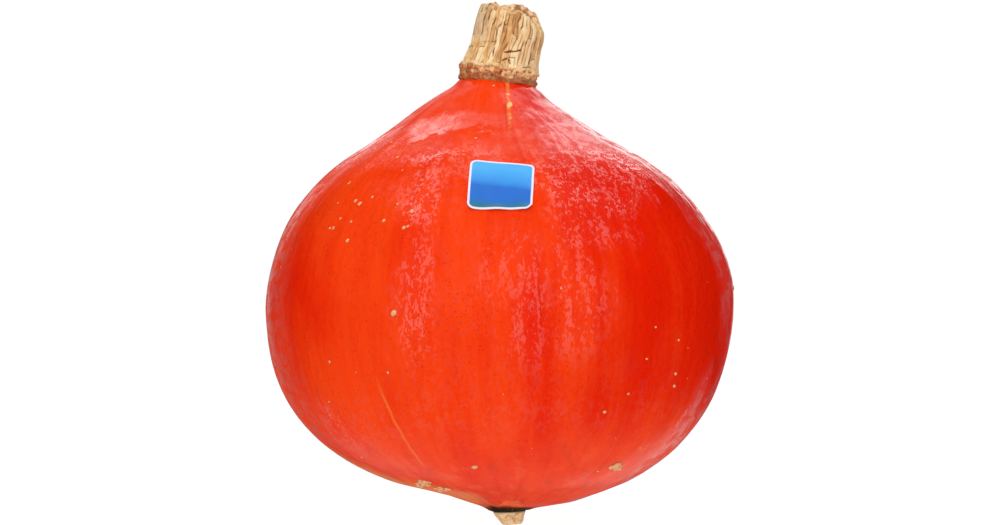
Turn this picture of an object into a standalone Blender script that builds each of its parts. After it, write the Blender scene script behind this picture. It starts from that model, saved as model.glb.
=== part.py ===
"""Red kuri squash, standing on the small corky scar at its blossom end.

The fruit is a turned onion profile with ten soft ribs and a few broad swellings. The corky
stem leans on a tilted seat, the blossom scar is the foot, and a blank paper sticker lies on
the front shoulder. +Z is up, -Y is the front, and the origin is the centre of the foot.
"""

import math

import bmesh
import bpy
from mathutils import Matrix, Vector
from mathutils.geometry import interpolate_bezier

MM = 0.001
FULL_TURN = 2 * math.pi

# Driving dimensions of the fruit
WIDTH = 158.4 * MM                  # across the belly, without its ribs and swellings
BELLY_HEIGHT = 75.7 * MM            # where the fruit is widest
NECK_RADIUS = 48.2 * MM             # where the shoulder turns into the straight neck
NECK_HEIGHT = 126.3 * MM
NECK_SLOPE = math.radians(31)       # fall of the neck, outwards
SEAT_RADIUS = 12.4 * MM             # where the stem grows from
FRUIT_TOP = 151.2 * MM
RIM_RADIUS = 5.6 * MM               # edge of the blossom scar
RIM_HEIGHT = 4.6 * MM
RIM_SLOPE = math.radians(13.5)      # rise of the underside, outwards

# How far each profile point pulls its curve
PULL_RIM_OUT = 31.5 * MM
PULL_BELLY_DOWN = 54.0 * MM
PULL_BELLY_UP = 11.2 * MM
PULL_NECK_IN = 29.2 * MM
PULL_NECK_OUT = 30.0 * MM
PULL_SEAT = 9.0 * MM

# Ribs, swellings and the two leaning ends
RIB_COUNT = 10
RIB_DEPTH = 0.42 * MM
SHOULDER_DROP = 1.7 * MM            # the shoulder at +X is lower than the one at -X by twice this
UNDERSIDE_DROP = 2.0 * MM           # and so is the underside, this far outside the scar
UNDERSIDE_REACH = 16 * MM

# Stem
SEAT_CENTRE = Vector((2.6 * MM, 0, FRUIT_TOP))
SEAT_TILT = math.radians(9)         # the seat falls towards +X
SEAT_BLEND_RADIUS = 24 * MM         # inside this the skin turns into the seat's tilt
STEM_LENGTH = 26.3 * MM
STEM_BEND = 1.7 * MM                # sideways drift of the shaft over its length
STEM_CREASES = 0.75 * MM            # depth of the long creases
STEM_CUT_FALL = 1.6 * MM            # the cut end is lower at the front than at its middle
STEM_CORNER_BREAK = 5.0 * MM        # and its +X edge is broken off

# Blossom scar
FOOT_RADIUS = 4.0 * MM              # the flat spot that the squash stands on
SCAR_HEIGHT = 4.3 * MM

# Sticker
STICKER_WIDTH = 20.8 * MM
STICKER_HEIGHT = 21.4 * MM          # measured along the skin
STICKER_CORNER = 2.2 * MM
STICKER_THICKNESS = 0.35 * MM
STICKER_CENTRE_X = 2.4 * MM
STICKER_CENTRE_Z = 115.8 * MM
STICKER_TURN = math.radians(-6.4)   # clockwise, seen from the front

SEAM_GAP = 0.3 * MM                 # clearance between neighbouring solids

# Fineness of the solids
FRUIT_SEGMENTS = 80
FRUIT_RINGS = 40
STEM_SEGMENTS = 56
SCAR_SEGMENTS = 20
STICKER_RINGS = 4
STICKER_CORNER_POINTS = 4
STICKER_SIDE_POINTS = 4


def smooth_step(value, start, end):
    """0 before start, 1 after end, and a smooth rise in between."""
    t = min(max((value - start) / (end - start), 0), 1)
    return t * t * (3 - 2 * t)


# ---------------------------------------------------------------- outline of the fruit


def bezier_span(start, start_pull, end, end_pull, points=64):
    """Points of one curve in the (radius, height) plane."""
    return [
        Vector((p.x, p.y))
        for p in interpolate_bezier(start, start + start_pull, end + end_pull, end, points)
    ]


def fruit_outline():
    """(radius, height) points from the edge of the scar up to the stem's seat, close together."""
    rim = Vector((RIM_RADIUS, RIM_HEIGHT))
    belly = Vector((WIDTH / 2, BELLY_HEIGHT))
    neck = Vector((NECK_RADIUS, NECK_HEIGHT))
    seat = Vector((SEAT_RADIUS, FRUIT_TOP))
    outwards = Vector((math.cos(RIM_SLOPE), math.sin(RIM_SLOPE)))
    up = Vector((0, 1))
    along_neck = Vector((-math.cos(NECK_SLOPE), math.sin(NECK_SLOPE)))
    lower = bezier_span(rim, PULL_RIM_OUT * outwards, belly, -PULL_BELLY_DOWN * up)
    shoulder = bezier_span(belly, PULL_BELLY_UP * up, neck, -PULL_NECK_IN * along_neck)
    top = bezier_span(neck, PULL_NECK_OUT * along_neck, seat, -PULL_SEAT * along_neck)
    return lower + shoulder[1:] + top[1:]


def evenly_spaced(points, count):
    """The same line, as count points an equal distance apart."""
    lengths = [0]
    for a, b in zip(points, points[1:]):
        lengths.append(lengths[-1] + (b - a).length)
    spaced = []
    i = 0
    for n in range(count):
        wanted = lengths[-1] * n / (count - 1)
        while i < len(points) - 2 and lengths[i + 1] < wanted:
            i += 1
        share = (wanted - lengths[i]) / (lengths[i + 1] - lengths[i])
        spaced.append(points[i].lerp(points[i + 1], share))
    return spaced


# ---------------------------------------------------------------- form of the skin


def swelling(angle, height):
    """How far the skin stands out from the turned outline, at an angle round the axis."""
    rise = height / FRUIT_TOP
    belly_share = math.sin(math.pi * rise) ** 0.7
    ribs = RIB_DEPTH * math.cos(RIB_COUNT * angle + 0.3 + 0.5 * math.sin(3 * angle))
    oval = 0.8 * MM * (math.cos(2 * angle) - 1)
    three_sided = 0.6 * MM * math.cos(3 * angle + 1.9)
    low_lumps = 0.7 * MM * math.cos(3 * angle - 1.45) * math.sin(2.2 * math.pi * rise + 1.0)
    high_lumps = 0.3 * MM * math.sin(7 * angle + 2.1) * math.sin(4.4 * math.pi * rise + 0.4)
    return belly_share * (ribs + oval + three_sided + low_lumps + high_lumps)


def end_lean(angle, radius, height):
    """The fall of the skin towards +X on the shoulder and on the underside."""
    shoulder = smooth_step(height, 0.5 * FRUIT_TOP, 0.7 * FRUIT_TOP)
    underside = min((radius - RIM_RADIUS) / UNDERSIDE_REACH, 1)
    underside *= 1 - smooth_step(height, 10 * MM, 60 * MM)
    return -math.cos(angle) * (SHOULDER_DROP * shoulder + UNDERSIDE_DROP * underside)


def on_tilted_seat(point):
    """Moves and tilts a point of an upright neck with the seat that the stem grows from."""
    return SEAT_CENTRE + Matrix.Rotation(SEAT_TILT, 3, "Y") @ (point - Vector((0, 0, FRUIT_TOP)))


def shaped_skin(turned, normal):
    """Where a point of the plain turned outline lies on the real fruit."""
    angle = math.atan2(turned.y, turned.x)
    radius = math.hypot(turned.x, turned.y)
    if turned.z <= RIM_HEIGHT or radius < 1e-6:
        return turned.copy()
    skin = turned + swelling(angle, turned.z) * normal
    skin.z += end_lean(angle, radius, turned.z)
    if turned.z > NECK_HEIGHT:
        seated = 1 - smooth_step(radius, 1.1 * SEAT_RADIUS, SEAT_BLEND_RADIUS)
        skin = skin.lerp(on_tilted_seat(turned), seated)
    return skin


# ---------------------------------------------------------------- mesh helpers


def turned(points, segments):
    """A bmesh made by turning (radius, height) points once round the Z axis."""
    bm = bmesh.new()
    verts = [bm.verts.new((p[0], 0, p[1])) for p in points]
    edges = [bm.edges.new(pair) for pair in zip(verts, verts[1:])]
    bmesh.ops.spin(
        bm, geom=verts + edges, cent=(0, 0, 0), axis=(0, 0, 1),
        angle=FULL_TURN, steps=segments, use_merge=True,
    )
    bmesh.ops.remove_doubles(bm, verts=bm.verts, dist=1e-6)
    bmesh.ops.recalc_face_normals(bm, faces=bm.faces)
    bm.normal_update()
    return bm


def add_object(name, bm, material):
    """Puts a finished bmesh in the scene as one smooth-shaded piece."""
    mesh = bpy.data.meshes.new(name)
    bm.to_mesh(mesh)
    bm.free()
    mesh.materials.append(material)
    mesh.shade_smooth()
    piece = bpy.data.objects.new(name, mesh)
    bpy.context.scene.collection.objects.link(piece)
    return piece


def make_material(name, colour, roughness):
    material = bpy.data.materials.new(name)
    material.use_nodes = True
    shader = material.node_tree.nodes["Principled BSDF"]
    shader.inputs["Base Color"].default_value = (*colour, 1)
    shader.inputs["Roughness"].default_value = roughness
    shader.inputs["Metallic"].default_value = 0
    return material


# ---------------------------------------------------------------- pieces


def make_fruit():
    """The fruit, closed flat below the stem and above the scar."""
    outline = evenly_spaced(fruit_outline(), FRUIT_RINGS)
    points = [Vector((0, RIM_HEIGHT)), *outline]
    bm = turned(points, FRUIT_SEGMENTS)
    for vert in bm.verts:
        vert.co = shaped_skin(vert.co, vert.normal)
    seat_edge = [edge for edge in bm.edges if edge.is_boundary]
    bmesh.ops.contextual_create(bm, geom=seat_edge)
    bmesh.ops.recalc_face_normals(bm, faces=bm.faces)
    return add_object("fruit", bm, make_material("skin", (0.80, 0.055, 0.012), 0.3))


def stem_outline():
    """(radius, height) points of the stem above its seat, from the underside to the cut end."""
    return [
        (0, SEAM_GAP),
        (SEAT_RADIUS, SEAM_GAP),
        (13.7 * MM, -0.35 * MM),     # lip of the collar, hanging over the seat's edge
        (14.2 * MM, 0.3 * MM),
        (14.1 * MM, 2.2 * MM),
        (13.7 * MM, 3.9 * MM),
        (12.9 * MM, 5.4 * MM),       # collar ends, shaft begins
        (12.4 * MM, 7.5 * MM),
        (12.2 * MM, 10.0 * MM),
        (12.1 * MM, 12.5 * MM),
        (12.2 * MM, 15.0 * MM),
        (12.1 * MM, 17.5 * MM),
        (11.7 * MM, 20.0 * MM),
        (11.3 * MM, 22.5 * MM),
        (10.9 * MM, 24.6 * MM),
        (10.2 * MM, 26.0 * MM),      # edge of the cut end
        (8.6 * MM, STEM_LENGTH),
        (5.0 * MM, STEM_LENGTH - 0.5 * MM),
        (2.5 * MM, STEM_LENGTH - 1.1 * MM),
        (0, STEM_LENGTH - 1.4 * MM),
    ]


def crease(angle, height):
    """Depth of the stem's long creases, 0 on a ridge and 1 in the deepest one."""
    drift = 0.35 * math.sin(height / (7 * MM))
    waves = (
        math.cos(5 * angle + 0.4 + drift)
        + 0.8 * math.cos(8 * angle + 2.6 - drift)
        + 0.7 * math.cos(13 * angle + 1.2 + drift)
    )
    return 0.5 - 0.2 * waves


def shaped_stem(turned_point):
    """Creases the plain turned stem, then bends it, and breaks its cut end."""
    angle = math.atan2(turned_point.y, turned_point.x)
    radius = math.hypot(turned_point.x, turned_point.y)
    height = turned_point.z
    side = smooth_step(radius, 6 * MM, 10 * MM) * smooth_step(height, 0, 6 * MM)
    creased = radius - STEM_CREASES * crease(angle, height) * side
    end = smooth_step(height, 17 * MM, STEM_LENGTH)
    across = creased / (10 * MM)
    break_off = STEM_CORNER_BREAK * max(0, math.cos(angle + 0.25)) ** 3 * min(across, 1)
    fall = STEM_CUT_FALL * across * math.sin(angle)
    return Vector((
        creased * math.cos(angle) + STEM_BEND * smooth_step(height, 4 * MM, 17 * MM),
        creased * math.sin(angle),
        height + end * (fall - break_off),
    ))


def make_stem():
    """The corky stem with its collar, on the tilted seat."""
    bm = turned(stem_outline(), STEM_SEGMENTS)
    stand = Matrix.Translation(SEAT_CENTRE) @ Matrix.Rotation(SEAT_TILT, 4, "Y")
    for vert in bm.verts:
        vert.co = stand @ shaped_stem(vert.co)
    return add_object("stem", bm, make_material("stem_cork", (0.55, 0.36, 0.19), 0.85))


def make_blossom_scar():
    """The dry corky button at the blossom end, which is the foot."""
    outline = [
        (0, 0),
        (FOOT_RADIUS, 0),
        (4.6 * MM, 0.9 * MM),
        (5.0 * MM, 2.3 * MM),
        (5.2 * MM, 3.4 * MM),
        (5.1 * MM, SCAR_HEIGHT),
        (0, SCAR_HEIGHT),
    ]
    bm = turned(outline, SCAR_SEGMENTS)
    for vert in bm.verts:
        angle = math.atan2(vert.co.y, vert.co.x)
        uneven = 0.045 * math.cos(3 * angle + 0.5) + 0.03 * math.cos(5 * angle + 2.0)
        vert.co.xy *= 1 + uneven * smooth_step(vert.co.z, 0, 1.5 * MM)
    return add_object("blossom_scar", bm, make_material("scar_cork", (0.55, 0.33, 0.16), 0.8))


def rounded_rectangle(width, height, corner):
    """Points of a rectangle with round corners, anticlockwise, as (across, along)."""
    points = []
    for quarter in range(4):
        first = quarter * math.pi / 2
        right = width / 2 - corner if quarter in (0, 3) else corner - width / 2
        top = height / 2 - corner if quarter in (0, 1) else corner - height / 2
        for n in range(STICKER_CORNER_POINTS):
            turn = first + math.pi / 2 * n / (STICKER_CORNER_POINTS - 1)
            points.append(Vector((right, top)) + corner * Vector((math.cos(turn), math.sin(turn))))
        side = (width if quarter in (0, 2) else height) - 2 * corner
        corner_end = points[-1]
        along_side = Vector((-math.sin(turn), math.cos(turn)))
        for n in range(1, STICKER_SIDE_POINTS):
            points.append(corner_end + along_side * side * n / STICKER_SIDE_POINTS)
    return points


def outline_at(outline, length):
    """(point, direction) of the outline at a distance along it, counted from the scar."""
    for a, b in zip(outline, outline[1:]):
        step = (b - a).length
        if length <= step:
            break
        length -= step
    return a.lerp(b, length / step), (b - a).normalized()


def length_to_height(outline, height):
    """Distance along the outline to a height."""
    length = 0
    for a, b in zip(outline, outline[1:]):
        if b.y >= height:
            return length + (b - a).length * (height - a.y) / (b.y - a.y)
        length += (b - a).length
    return length


def make_sticker():
    """A blank paper sticker that follows the front shoulder, just clear of the skin."""
    outline = fruit_outline()
    middle = length_to_height(outline, STICKER_CENTRE_Z)
    turn = Matrix.Rotation(STICKER_TURN, 2)
    edge = rounded_rectangle(STICKER_WIDTH, STICKER_HEIGHT, STICKER_CORNER)

    def placed(flat, lift):
        across, along = turn @ flat
        point, direction = outline_at(outline, middle + along)
        about_axis = Matrix.Rotation(-math.pi / 2 + (STICKER_CENTRE_X + across) / point.x, 3, "Z")
        normal = about_axis @ Vector((direction.y, 0, -direction.x))
        return shaped_skin(about_axis @ Vector((point.x, 0, point.y)), normal) + lift * normal

    bm = bmesh.new()
    rims = []
    for lift in (SEAM_GAP, SEAM_GAP + STICKER_THICKNESS):
        rings = [
            [bm.verts.new(placed(p * (n / STICKER_RINGS), lift)) for p in edge]
            for n in range(1, STICKER_RINGS + 1)
        ]
        centre = bm.verts.new(placed(Vector((0, 0)), lift))
        for a, b in zip(rings[0], rings[0][1:] + rings[0][:1]):
            bm.faces.new((centre, a, b))
        for inner, outer in zip(rings, rings[1:]):
            join_rings(bm, inner, outer)
        rims.append(rings[-1])
    join_rings(bm, *rims)
    bmesh.ops.recalc_face_normals(bm, faces=bm.faces)
    return add_object("sticker", bm, make_material("sticker_paper", (0.08, 0.32, 0.75), 0.35))


def join_rings(bm, inner, outer):
    """A band of four-sided faces between two rings of the same length."""
    for i, vert in enumerate(inner):
        after = (i + 1) % len(inner)
        bm.faces.new((vert, outer[i], outer[after], inner[after]))


def clear_scene():
    for old in list(bpy.data.objects):
        bpy.data.objects.remove(old)


def main():
    clear_scene()
    make_fruit()
    make_stem()
    make_blossom_scar()
    make_sticker()


main()
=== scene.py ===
"""Red kuri squash: the skin, cork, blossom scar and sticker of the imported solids.

Every piece is made by its own operator, in metres, around the frame of solids. +Z is up, -Y is
the side with the sticker, and the origin is the flat spot that the squash stands on. Angles go
round the axis from +X, so the front is at -90 degrees.
"""

import math

import bmesh
import bpy
import numpy as np
from bpy.props import FloatProperty, FloatVectorProperty, IntProperty, PointerProperty
from mathutils import Matrix, Vector, noise
from mathutils.bvhtree import BVHTree
from mathutils.geometry import interpolate_bezier


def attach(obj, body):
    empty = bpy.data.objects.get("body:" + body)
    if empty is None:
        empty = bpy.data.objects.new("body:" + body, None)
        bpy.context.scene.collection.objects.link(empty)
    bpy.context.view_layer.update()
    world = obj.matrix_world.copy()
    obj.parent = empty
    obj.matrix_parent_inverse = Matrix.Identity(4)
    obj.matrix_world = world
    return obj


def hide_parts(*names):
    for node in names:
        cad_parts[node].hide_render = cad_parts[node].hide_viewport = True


bl_info = {
    "name": "Red Kuri Squash",
    "version": (1, 0, 0),
    "blender": (4, 5, 0),
    "location": "3D View > Sidebar > Squash",
    "description": "Grows a red kuri squash with its corky stem, specks and sticker",
    "category": "Add Mesh",
}

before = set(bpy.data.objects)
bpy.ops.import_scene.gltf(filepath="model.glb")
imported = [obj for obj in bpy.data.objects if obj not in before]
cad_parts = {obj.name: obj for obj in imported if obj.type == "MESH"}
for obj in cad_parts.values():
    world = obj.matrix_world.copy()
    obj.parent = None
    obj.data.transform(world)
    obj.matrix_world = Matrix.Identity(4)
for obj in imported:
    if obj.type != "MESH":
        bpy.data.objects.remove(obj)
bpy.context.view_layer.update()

MM = 0.001
FULL_TURN = 2 * math.pi
FRONT = -math.pi / 2


# ---------------------------------------------------------------- settings


def length(name, description, default):
    """A size in metres that a user may change."""
    return FloatProperty(name=name, description=description, default=default, unit="LENGTH", precision=5)


def colour(name, description, default):
    """A linear colour that a user may change."""
    return FloatVectorProperty(
        name=name, description=description, default=default, subtype="COLOR", size=3, min=0, max=1
    )


def angle(name, description, degrees):
    """An angle that a user may change."""
    return FloatProperty(name=name, description=description, default=math.radians(degrees), subtype="ANGLE")


class KuriFruit(bpy.types.PropertyGroup):
    width: length("Width", "Across the belly, without ribs and swellings", 158.4 * MM)
    belly_height: length("Belly height", "Where the fruit is widest", 75.7 * MM)
    neck_radius: length("Neck radius", "Where the shoulder turns into the straight neck", 48.2 * MM)
    neck_height: length("Neck height", "Height of the same place", 126.3 * MM)
    neck_slope: angle("Neck slope", "Fall of the neck, outwards", 31)
    seat_radius: length("Seat radius", "Where the stem grows from", 12.4 * MM)
    top: length("Top", "Height of the stem's seat", 151.2 * MM)
    rim_radius: length("Rim radius", "Edge of the blossom scar", 5.6 * MM)
    rim_height: length("Rim height", "Height of the same edge", 4.6 * MM)
    rim_slope: angle("Rim slope", "Rise of the underside", 13.5)
    rib_count: IntProperty(name="Ribs", description="Soft ribs round the fruit", default=10, min=0)
    rib_depth: length("Rib depth", "How far each rib stands out", 0.42 * MM)
    shoulder_drop: length("Shoulder drop", "Fall of the shoulder towards +X", 1.7 * MM)
    underside_drop: length("Underside drop", "Fall of the underside towards +X", 2.0 * MM)
    underside_reach: length("Underside reach", "How far out the underside drop grows", 16 * MM)
    seat_shift: length("Seat shift", "How far the seat lies towards +X", 2.6 * MM)
    seat_tilt: angle("Seat tilt", "Fall of the seat towards +X", 9)
    seat_blend: length("Seat blend", "Radius inside which the skin tilts with the seat", 24 * MM)
    lumps: length("Lumps", "Height of the wide uneven swellings", 0.30 * MM)
    folds: length("Folds", "Height of the soft upright folds", 0.14 * MM)
    wrinkles: length("Wrinkles", "Height of the fine upright wrinkles", 0.07 * MM)
    leather: length("Leather", "Height of the leathery grain", 0.07 * MM)
    segments: IntProperty(name="Segments", description="Faces round the fruit", default=540, min=16)
    rings: IntProperty(name="Rings", description="Rows of faces from scar to stem", default=176, min=16)
    deep_red: colour("Deep red", "Skin in its darker patches", (0.74, 0.0118, 0.0008))
    bright_orange: colour("Bright orange", "Skin in its lighter patches", (0.90, 0.054, 0.0055))
    unripe_gold: colour("Unripe gold", "Pale streaks and the ground spot", (0.86, 0.30, 0.055))


class KuriSpecks(bpy.types.PropertyGroup):
    per_area: FloatProperty(
        name="Specks", description="Corky specks on a square metre of skin", default=2600, min=0
    )
    smallest: length("Smallest", "Radius of the smallest speck", 0.14 * MM)
    largest: length("Largest", "Radius of the largest scattered speck", 0.48 * MM)
    seed: IntProperty(name="Seed", description="Places the scattered specks", default=4, min=0)
    cork: colour("Cork", "Colour of the specks", (0.98, 0.46, 0.21))


class KuriStem(bpy.types.PropertyGroup):
    length: length("Length", "From the seat to the cut end", 26.3 * MM)
    bend: length("Bend", "Sideways drift of the shaft", 1.7 * MM)
    creases: length("Creases", "Depth of the long creases", 0.45 * MM)
    fibres: length("Fibres", "Depth of the furrows between fibres", 0.5 * MM)
    cut_fall: length("Cut fall", "How much lower the cut end is at the front", 1.6 * MM)
    corner_break: length("Broken corner", "How much is broken off at +X", 5.0 * MM)
    segments: IntProperty(name="Segments", description="Faces round the stem", default=432, min=16)
    dry_tan: colour("Dry tan", "Strands of the shaft", (0.88, 0.60, 0.30))
    # Colour of the furrows and cracks, which are darkened with their depth as painted shade
    furrow_brown: colour("Furrow brown", "Furrows and cracks", (0.28, 0.12, 0.042))
    collar_rust: colour("Collar rust", "Crumbly collar", (0.30, 0.060, 0.012))


class KuriScar(bpy.types.PropertyGroup):
    foot_radius: length("Foot radius", "Flat spot that the squash stands on", 3.3 * MM)
    height: length("Height", "How far the scar stands out below the skin", 4.9 * MM)
    tan: colour("Tan", "Dry end of the scar", (0.84, 0.58, 0.32))


class KuriSticker(bpy.types.PropertyGroup):
    width: length("Width", "Across the sticker", 21.4 * MM)
    height: length("Height", "Along the skin", 21.7 * MM)
    corner: length("Corner", "Radius of the corners", 2.6 * MM)
    border: length("Border", "Width of the white border", 0.72 * MM)
    centre_x: length("Centre X", "Along the skin from the front", 2.1 * MM)
    centre_z: length("Centre Z", "Height of the centre", 115.8 * MM)
    turn: angle("Turn", "Turn on the skin", -4.8)
    slant: FloatProperty(name="Slant", description="Fall of the upper edge towards +X", default=0.17)
    sky_blue: colour("Sky blue", "Upper part", (0.060, 0.42, 0.86))
    mid_blue: colour("Mid blue", "Middle", (0.030, 0.27, 0.76))
    deep_blue: colour("Deep blue", "Lower part", (0.014, 0.145, 0.58))
    teal: colour("Teal", "Lower edge", (0.011, 0.17, 0.24))


class KuriStage(bpy.types.PropertyGroup):
    camera_distance: length("Camera distance", "From the axis of the squash", 1.0)
    frame_width: length("Frame width", "What the picture spans at the axis", 341.9 * MM)
    aim_x: length("Aim X", "Where the camera looks", 0.66 * MM)
    aim_z: length("Aim height", "Where the camera looks", 89.6 * MM)
    roll: angle("Roll", "Turn of the camera, clockwise", 2.5)


# ---------------------------------------------------------------- node trees by arithmetic


class Value:
    """A socket of a node tree. Arithmetic on it adds the Math nodes that work it out."""

    def __init__(self, graph, socket):
        self.graph = graph
        self.socket = socket

    def __add__(self, other):
        return self.graph.maths("ADD", self, other)

    def __sub__(self, other):
        return self.graph.maths("SUBTRACT", self, other)

    def __rsub__(self, other):
        return self.graph.maths("SUBTRACT", other, self)

    def __mul__(self, other):
        return self.graph.maths("MULTIPLY", self, other)

    def __truediv__(self, other):
        return self.graph.maths("DIVIDE", self, other)

    def __rtruediv__(self, other):
        return self.graph.maths("DIVIDE", other, self)

    def __pow__(self, other):
        return self.graph.maths("POWER", self, other)

    def __gt__(self, other):
        return self.graph.maths("GREATER_THAN", self, other)

    def __lt__(self, other):
        return self.graph.maths("LESS_THAN", self, other)

    def __neg__(self):
        return self.graph.maths("MULTIPLY", self, -1)

    __radd__ = __add__
    __rmul__ = __mul__


class Graph:
    """A node tree that is built from expressions."""

    def __init__(self, tree):
        self.tree = tree

    def add(self, kind, settings=None, inputs=None, output=0):
        """Adds a node: its settings first, then the values or links of its sockets."""
        node = self.tree.nodes.new(kind)
        for name, value in (settings or {}).items():
            if name == "stops":
                set_stops(node.color_ramp, value)
            else:
                setattr(node, name, value)
        for key, value in (inputs or {}).items():
            self.feed(node.inputs[key], value)
        return Value(self, node.outputs[output])

    def feed(self, socket, value):
        if isinstance(value, Value):
            self.tree.links.new(value.socket, socket)
        else:
            socket.default_value = value

    def maths(self, operation, *values):
        return self.add("ShaderNodeMath", {"operation": operation}, dict(enumerate(values)))

    def vector(self, operation, *values, output=0):
        return self.add("ShaderNodeVectorMath", {"operation": operation}, dict(enumerate(values)), output)

    def scaled(self, vector, factor):
        return self.add("ShaderNodeVectorMath", {"operation": "SCALE"}, {"Vector": vector, "Scale": factor})

    def split(self, vector):
        parts = self.add("ShaderNodeSeparateXYZ", inputs={"Vector": vector})
        return [Value(self, socket) for socket in parts.socket.node.outputs]

    def join(self, x, y, z):
        return self.add("ShaderNodeCombineXYZ", inputs={"X": x, "Y": y, "Z": z})

    def smooth(self, value, start, end):
        """0 before start, 1 after end, and a smooth rise in between. Start may be the larger one."""
        return self.add(
            "ShaderNodeMapRange",
            {"interpolation_type": "SMOOTHSTEP"},
            {"Value": value, "From Min": start, "From Max": end},
        )

    def bump_at(self, value, middle, half_width):
        """1 at the middle and 0 half_width away from it on both sides."""
        return self.smooth(self.maths("ABSOLUTE", value - middle), half_width, 0)

    def band(self, value, start, full, fade, end):
        """1 from full to fade, and 0 before start and after end."""
        return self.smooth(value, start, full) * self.smooth(value, end, fade)

    def hypotenuse(self, x, y):
        return self.maths("SQRT", x * x + y * y)

    def mix_colour(self, share, first, second):
        return self.add(
            "ShaderNodeMix",
            {"data_type": "RGBA"},
            {0: share, 6: rgba(first), 7: rgba(second)},
            output=2,
        )

    def mix_vector(self, share, first, second):
        return self.add("ShaderNodeMix", {"data_type": "VECTOR"}, {0: share, 4: first, 5: second}, output=1)

    def noise(self, vector, size=1.0, detail=2.0, roughness=0.5, distortion=0.0):
        """Noise from about 0 to 1 with features of about this size."""
        inputs = {"Vector": vector, "Scale": 1 / size, "Detail": detail}
        inputs.update({"Roughness": roughness, "Distortion": distortion})
        return self.add("ShaderNodeTexNoise", inputs=inputs)

    def cells(self, vector, size, feature="F1", **inputs):
        """Distance from the middle of the nearest of many cells of about this size."""
        inputs = {"Vector": vector, "Scale": 1 / size, **inputs}
        return self.add("ShaderNodeTexVoronoi", {"feature": feature}, inputs)

    def pick_of(self, cells, channel):
        """A random number for each cell."""
        return self.split(Value(self, cells.socket.node.outputs["Color"]))[channel]

    def object_place(self):
        return self.add("ShaderNodeTexCoord", output="Object")

    def attribute(self, name):
        return self.add("ShaderNodeAttribute", {"attribute_name": name}, output="Fac")

    def bump(self, height, strength, distance):
        inputs = {"Height": height, "Strength": strength, "Distance": distance}
        return self.add("ShaderNodeBump", inputs=inputs)

    def ramp(self, share, *stops):
        """A colour from stops of (place, colour)."""
        return self.add("ShaderNodeValToRGB", {"stops": stops}, {"Fac": share})


def set_stops(ramp, stops):
    """Gives a colour ramp its (place, colour) stops."""
    while len(ramp.elements) < len(stops):
        ramp.elements.new(1)
    for element, (place, value) in zip(ramp.elements, stops):
        element.position = place
        element.color = rgba(value)


def rgba(value):
    """A colour of three numbers with its alpha. A link or a colour of four stays as it is."""
    if isinstance(value, Value) or len(value) == 4:
        return value
    return (*value, 1)


def shader_graph(name, values):
    """(material, graph, Principled shader) of a new material, with constants on the shader's sockets."""
    material = bpy.data.materials.new(name)
    material.use_nodes = True
    graph = Graph(material.node_tree)
    shader = material.node_tree.nodes["Principled BSDF"]
    for key, value in values.items():
        shader.inputs[key].default_value = value
    return material, graph, shader


def geometry_graph(name, sockets):
    """A geometry tree with its geometry sockets and named inputs: (graph, values by name, output node)."""
    tree = bpy.data.node_groups.new(name, "GeometryNodeTree")
    tree.interface.new_socket(name="Geometry", in_out="INPUT", socket_type="NodeSocketGeometry")
    tree.interface.new_socket(name="Geometry", in_out="OUTPUT", socket_type="NodeSocketGeometry")
    for label, kind in sockets.items():
        tree.interface.new_socket(name=label, in_out="INPUT", socket_type=kind)
    graph = Graph(tree)
    start = tree.nodes.new("NodeGroupInput")
    end = tree.nodes.new("NodeGroupOutput")
    values = {socket.name: Value(graph, socket) for socket in start.outputs if socket.name}
    return graph, values, end


def inputs_from(settings, names):
    """(kinds, values) of a geometry tree's inputs, one for each of these settings, by its label."""
    values = {name.replace("_", " ").title(): getattr(settings, name) for name in names}
    kinds = {
        label: "NodeSocketInt" if isinstance(value, int) else "NodeSocketFloat"
        for label, value in values.items()
    }
    return kinds, values


def finish(g, geometry, given, end):
    """Ends a geometry tree: real smooth faces with their material."""
    real = g.add("GeometryNodeRealizeInstances", inputs={"Geometry": geometry})
    rounded = g.add("GeometryNodeSetShadeSmooth", inputs={"Geometry": real})
    finished = g.add("GeometryNodeSetMaterial", inputs={"Geometry": rounded, "Material": given["Material"]})
    g.feed(end.inputs[0], finished)


def grown_mesh(name, host, graph, values):
    """Runs a geometry tree on a host object with these inputs and returns the plain result."""
    modifier = host.modifiers.new(name, "NODES")
    modifier.node_group = graph.tree
    for item in graph.tree.interface.items_tree:
        if item.in_out == "INPUT" and item.name in values:
            modifier[item.identifier] = values[item.name]
    bpy.context.view_layer.update()
    depsgraph = bpy.context.evaluated_depsgraph_get()
    mesh = bpy.data.meshes.new_from_object(host.evaluated_get(depsgraph))
    mesh.name = name
    host.modifiers.remove(modifier)
    return mesh


# ---------------------------------------------------------------- helpers


def add_piece(name, mesh, node):
    """Puts a finished mesh in the scene as a piece that stands for a solid or rides with them."""
    piece = bpy.data.objects.new(name, mesh)
    bpy.context.scene.collection.objects.link(piece)
    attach(piece, "root")
    if node:
        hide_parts(node)
    return piece


def helper_object(name, mesh):
    """An object that a geometry tree reads, and that is removed after it."""
    helper = bpy.data.objects.new(name, mesh)
    bpy.context.scene.collection.objects.link(helper)
    return helper


def remove_helper(helper):
    mesh = helper.data
    bpy.data.objects.remove(helper)
    bpy.data.meshes.remove(mesh)


def smooth_step(value, start, end):
    """0 before start, 1 after end, and a smooth rise in between, on numbers or arrays."""
    t = np.clip((value - start) / (end - start), 0, 1)
    return t * t * (3 - 2 * t)


def noise_at(points, size, seed):
    """Smooth noise from -1 to 1 at each point, with features of about this size. Each seed is a pattern."""
    shift = Vector((13.7 * seed, 5.1 * seed, 9.3 * seed))
    flat = np.reshape(points, (-1, 3)) / size
    values = [noise.noise(Vector(p) + shift) for p in flat]
    return np.reshape(values, np.shape(points)[:-1])


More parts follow.
